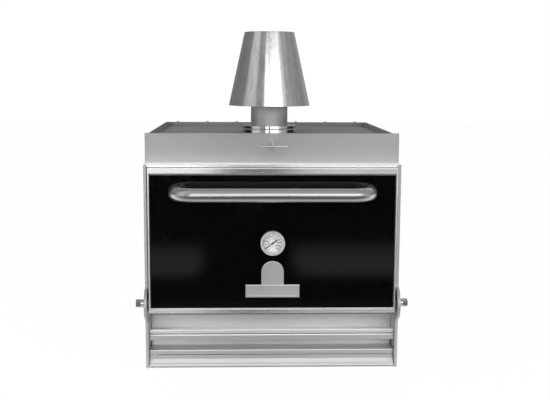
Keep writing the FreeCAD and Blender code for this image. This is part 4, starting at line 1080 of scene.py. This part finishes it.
mesh = bmesh.new()
stand = Matrix.Translation((-leg_x, panel_y, tube_z)) @ Matrix.Rotation(math.pi / 2, 4, "X")
bmesh.ops.create_circle(mesh, cap_ends=True, segments=TUBE_SIDES, radius=tube_radius, matrix=stand)
ring = pushed(mesh, mesh.edges[:], -leg_run)
ring = bent(mesh, ring, (-leg_x + HANDLE_BEND, bar_y + HANDLE_BEND, tube_z), (0, 0, 1))
ring = pushed(mesh, ring, (2 * (leg_x - HANDLE_BEND), 0, 0))
ring = bent(mesh, ring, (leg_x - HANDLE_BEND, bar_y + HANDLE_BEND, tube_z), (0, 0, 1))
ring = pushed(mesh, ring, leg_run)
bmesh.ops.contextual_create(mesh, geom=ring)
add_piece("handle_tube", welded(mesh), handle_steel, "door", "polished_steel", "door_handle")

rosette_hole = tube_radius + FIT_GAP
rosette_section = (
    (rosette_hole, 0), (ROSETTE_WIDE, 0), (ROSETTE_WIDE, ROSETTE_THICK), (rosette_hole, ROSETTE_THICK),
)
rosettes = []
for side in (-1, 1):
    rosette = turned(rosette_section, (side * leg_x, panel_y, tube_z), FORWARD)
    rosettes.append(soften(rosette, ROSETTE_EDGE, segments=3))
add_piece("rosettes_spun", joined(rosettes), black_enamel, "door", "black_enamel", "handle_rosettes")
print("handle tube", round(2000 * tube_radius, 1), "mm, legs", round(2000 * leg_x), "mm apart")

# %% [markdown]
# The thermometer
#
# A dial thermometer stands in the middle of the door: a steel case with a rounded bezel, a printed dial, a
# pointer, a glass and a stem that reaches into the oven. Case, bezel and stem could be three pieces, but all
# are round about one line, so they are one spin.

# %% Thermometer case
STEM_RADIUS = 0.004
CASE_WALL = 0.003
BEZEL_DEEP = 0.0025
BEZEL_WIDE = 0.0065
BEZEL_EDGE = 0.0009
case_low, case_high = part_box("thermometer_case")
case_radius = case_high.x
case_z = (case_low.z + case_high.z) / 2
case_deep = panel_y - case_low.y
stem_long = case_high.y - panel_y
case_section = (
    (0, -stem_long), (STEM_RADIUS, -stem_long), (STEM_RADIUS, 0), (case_radius, 0), (case_radius, case_deep),
    (case_radius - BEZEL_WIDE, case_deep), (case_radius - BEZEL_WIDE, case_deep - BEZEL_DEEP),
    (case_radius - CASE_WALL, case_deep - BEZEL_DEEP), (case_radius - CASE_WALL, CASE_WALL), (0, CASE_WALL),
)
mesh = turned(case_section, (0, panel_y, case_z), FORWARD, steps=96)
soften(mesh, BEZEL_EDGE, segments=3)
add_piece("thermometer_case_spun", mesh, bezel_steel, "door", "polished_steel", "thermometer_case")
print("bezel", round(2000 * case_radius), "mm across")

# %% [markdown]
# The scale on the dial runs through 270 degrees, from cold at the lower left to hot at the lower right, as
# the pointer's joint does. Marks are small flat boxes, and numbers are text that is made a mesh. Such print
# could be a texture, but as geometry it stays sharp from any distance.

# %% Print on the dial
SCALE_START = math.radians(218)
SCALE_SWEEP = math.radians(270)
SCALE_STEPS = 50
STEP_DEGREES = 10
MARK_OUT = 0.0300
# Length and width of the marks at each hundred and each fifty, and of the others
LARGE_MARKS = {0: (0.0052, 0.0014), 5: (0.0040, 0.0011)}
SMALL_MARK = (0.0028, 0.0007)
PRINT_THICK = 0.00012
NUMBER_RADIUS = 0.0208
NUMBER_SIZE = 0.0054
NUMBER_BOLD = 0.00020
NUMBER_EVERY = 5
INNER_OUT = 0.0150
INNER_LONG = 0.0020
print_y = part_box("thermometer_dial")[0].y - PRINT_THICK / 2
face_door = Matrix.Rotation(math.pi / 2, 4, "X")


def scale_angle(step):
    """The angle of a step of the scale, from the right and upwards."""
    return SCALE_START - SCALE_SWEEP * step / SCALE_STEPS


def dial_mark(angle, outer, long, wide):
    """A flat mark that ends at a radius, turned to its angle."""
    mark = bmesh.new()
    bmesh.ops.create_cube(mark, size=1.0)
    bmesh.ops.scale(mark, verts=mark.verts, vec=(long, PRINT_THICK, wide))
    bmesh.ops.translate(mark, verts=mark.verts, vec=(outer - long / 2, 0, 0))
    bmesh.ops.rotate(mark, verts=mark.verts, matrix=Matrix.Rotation(-angle, 3, "Y"))
    bmesh.ops.translate(mark, verts=mark.verts, vec=(0, print_y, case_z))
    return mark


prints = []
for step in range(SCALE_STEPS + 1):
    long, wide = LARGE_MARKS.get(step % 10, SMALL_MARK)
    prints.append(dial_mark(scale_angle(step), MARK_OUT, long, wide))
    prints.append(dial_mark(scale_angle(step), INNER_OUT, INNER_LONG, wide))
for step in range(0, SCALE_STEPS + 1, NUMBER_EVERY):
    angle = scale_angle(step)
    words = bpy.data.curves.new("number", "FONT")
    words.body = str(STEP_DEGREES * step)
    words.offset = NUMBER_BOLD
    words.size = NUMBER_SIZE
    words.extrude = PRINT_THICK / 2
    words.align_x = "CENTER"
    words.align_y = "CENTER"
    holder = bpy.data.objects.new("number", words)
    flat = bpy.data.meshes.new_from_object(holder)
    spot = (NUMBER_RADIUS * math.cos(angle), print_y, case_z + NUMBER_RADIUS * math.sin(angle))
    flat.transform(Matrix.Translation(spot) @ face_door)
    number = bmesh.new()
    number.from_mesh(flat)
    bmesh.ops.remove_doubles(number, verts=number.verts, dist=WELD)
    prints.append(number)
    bpy.data.objects.remove(holder)
    bpy.data.meshes.remove(flat)
add_piece("dial_print", joined(prints), dial_black, "door", "pointer_black")
print(len(prints), "marks and numbers on the dial")

# %% [markdown]
# Fasteners and the rod's bush
#
# The roof is screwed down along its rear edge, and the side and back sheets are held by pop rivets. The rod
# of the flue gate comes out of the hood through a flanged bush. Plain cylinders could stand for them, but a
# spun section shows the drive hole of a screw and the flange of the bush.

# %% Roof screws
SCREW = (
    (0.0, 0.0022), (0.0022, 0.0022), (0.0022, 0.0040), (0.0040, 0.0033), (0.0054, 0.0016), (0.0056, 0.0),
    (0.0056, -0.0004), (0.0, -0.0004),
)
ROOF_SCREWS = 7
ROOF_PITCH = 0.118
SCREW_INSET = 0.0075

screws = []
for index in range(ROOF_SCREWS):
    spot = (ROOF_PITCH * (index - (ROOF_SCREWS - 1) / 2), roof_high.y - SCREW_INSET, roof_high.z)
    screws.append(turned(SCREW, spot, steps=24))
add_piece("roof_screws", joined(screws), bolt_steel, "oven", "polished_steel")
print(ROOF_SCREWS, "roof screws")

# %% Casing rivets
# Heights of the rivets on the sides, places along the hood, and places across the back
SIDE_RIVETS = (0.05, 0.20, 0.35, 0.50, 0.625)
HOOD_RIVETS = (-0.28, -0.03, 0.22, 0.46)
BACK_RIVETS = (-0.26, -0.13, 0.0, 0.13, 0.26)
FRONT_ROW = -0.250
REAR_INSET = 0.020
SEAM_EDGE = 0.012
HEM_EDGE = 0.014
FOOT_ROW = 0.030
BACKWARD = (0, 1, 0)

back_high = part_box("back_panel")[1]
wrap_low, wrap_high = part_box("hood_wrap")
rows = []
for side in (-1, 1):
    wall_x = side * wrap_high.x
    sideways = (side, 0, 0)
    for height in SIDE_RIVETS:
        rows.append(((side * (back_high.x - SEAM_EDGE), back_high.y, height), BACKWARD))
        rows.append(((wall_x, back_high.y - REAR_INSET, height), sideways))
        rows.append(((wall_x, FRONT_ROW, height), sideways))
    for along in HOOD_RIVETS:
        rows.append(((wall_x, along, wrap_low.z + SEAM_EDGE), sideways))
for across in BACK_RIVETS:
    rows.append(((across, back_high.y, FOOT_ROW), BACKWARD))
    rows.append(((across, back_high.y, back_high.z - HEM_EDGE), BACKWARD))
    rows.append(((across, wrap_high.y, wrap_low.z + HEM_EDGE), BACKWARD))
rivets = [rivet_at(spot, aim) for spot, aim in rows]
add_piece("casing_rivets", joined(rivets), bolt_steel, "oven", "polished_steel")
print(len(rivets), "rivets on the casing")

# %% Bush of the rod
BUSH_HOLE = 0.0042
BUSH_WALL = 0.007
BUSH_EDGE = 0.0009
flange_radius = bush_high.x
fascia_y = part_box("hood_fascia")[0].y
bush_inner = fascia_y - bush_high.y
bush_outer = fascia_y - bush_low.y
bush_section = (
    (BUSH_HOLE, bush_inner), (BUSH_WALL, bush_inner), (BUSH_WALL, 0), (flange_radius, 0),
    (flange_radius, bush_outer), (BUSH_HOLE, bush_outer),
)
mesh = soften(turned(bush_section, (0, fascia_y, rod_z), FORWARD, steps=48), BUSH_EDGE, segments=3)
add_piece("rod_bush_spun", mesh, bolt_steel, "oven", "polished_steel", "rod_bush")
print("bush flange", round(2000 * flange_radius), "mm across")

# %% [markdown]
# The door seal
#
# The door closes on a rope of woven glass fibre that runs round the mouth. It could be a curve with a bevel,
# but the handle's tools serve again: a flattened ring of edges is pushed along each side and bent round each
# corner until it meets its own start.

# %% Rope seal
ROPE_CORNER = 0.019
ROPE_WIDE = 0.010
ROPE_SIDES = 20
seal_low, seal_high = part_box("door_gasket")
rope_y = (seal_low.y + seal_high.y) / 2
rope_flat = (seal_high.y - seal_low.y) / ROPE_WIDE
right_x = seal_high.x - ROPE_WIDE / 2
low_z = seal_low.z + ROPE_WIDE / 2
high_z = seal_high.z - ROPE_WIDE / 2
run_x = right_x - ROPE_CORNER
run_z = high_z - low_z - 2 * ROPE_CORNER

mesh = bmesh.new()
start = Matrix.Translation((-run_x, rope_y, low_z)) @ Matrix.Rotation(math.pi / 2, 4, "Y")
bmesh.ops.create_circle(mesh, cap_ends=False, segments=ROPE_SIDES, radius=ROPE_WIDE / 2, matrix=start)
bmesh.ops.scale(mesh, verts=mesh.verts, vec=(1, rope_flat, 1), space=Matrix.Translation((0, -rope_y, 0)))
ring = mesh.edges[:]
# The run along each side and the centre of the bend after it
corners_of_mouth = (
    ((2 * run_x, 0, 0), (run_x, rope_y, low_z + ROPE_CORNER)),
    ((0, 0, run_z), (run_x, rope_y, high_z - ROPE_CORNER)),
    ((-2 * run_x, 0, 0), (-run_x, rope_y, high_z - ROPE_CORNER)),
    ((0, 0, -run_z), (-run_x, rope_y, low_z + ROPE_CORNER)),
)
for way, centre in corners_of_mouth:
    ring = bent(mesh, pushed(mesh, ring, way), centre, FORWARD, steps=8)
add_piece("rope_seal", welded(mesh, SHEET_WELD), seal_rope, "oven", "fibre_rope", "door_gasket")
print("seal", round(2 * right_x, 3), "by", round(high_z - low_z, 3), "m")

# %% [markdown]
# Finishes for the CAD pieces
#
# A CAD piece whose shape is right keeps its mesh and only gets a finish, like nearly all of those inside. The
# ones that another piece stands for could stay bare, but with its finish the CAD model looks right alone.

# %% Paint the CAD pieces
PAINT = {
    heat_plate_and_shade: "liner_left liner_right liner_back liner_top liner_floor liner_front face_frame door_liner"
    " rack_rails_left rack_rails_right grate_ledges",
    zinc_sheet: "base_pan drawer_runners ash_drawer_tray air_drawer_tray damper_housing damper_gate"
    " flue_throat",
    rack_wire: "grill_rack_lower grill_rack_upper hat_brackets spark_baffle",
    fibre_board: "insulation_left insulation_right insulation_back insulation_top door_insulation",
    bronze: "pivot_bushes",
    seal_rope: "door_gasket",
    black_enamel: "door_panel handle_rosettes",
    flue_steel: "flue_pipe",
    hat_steel: "hat_cone",
    chrome: "flue_collar",
    handle_steel: "door_handle",
    bezel_steel: "thermometer_case",
    bolt_steel: "rod_bush",
    dial_white: "thermometer_dial",
    dial_black: "thermometer_pointer",
    lens_glass: "thermometer_lens",
}
painted = set()
for finish, names in [*PAINT.items(), *((row[0], row[-1]) for row in DRESSED)]:
    for name in names.split():
        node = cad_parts[name]
        node.data.materials.clear()
        node.data.materials.append(finish)
        painted.add(name)
print("painted", len(painted), "of", len(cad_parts), "CAD pieces")
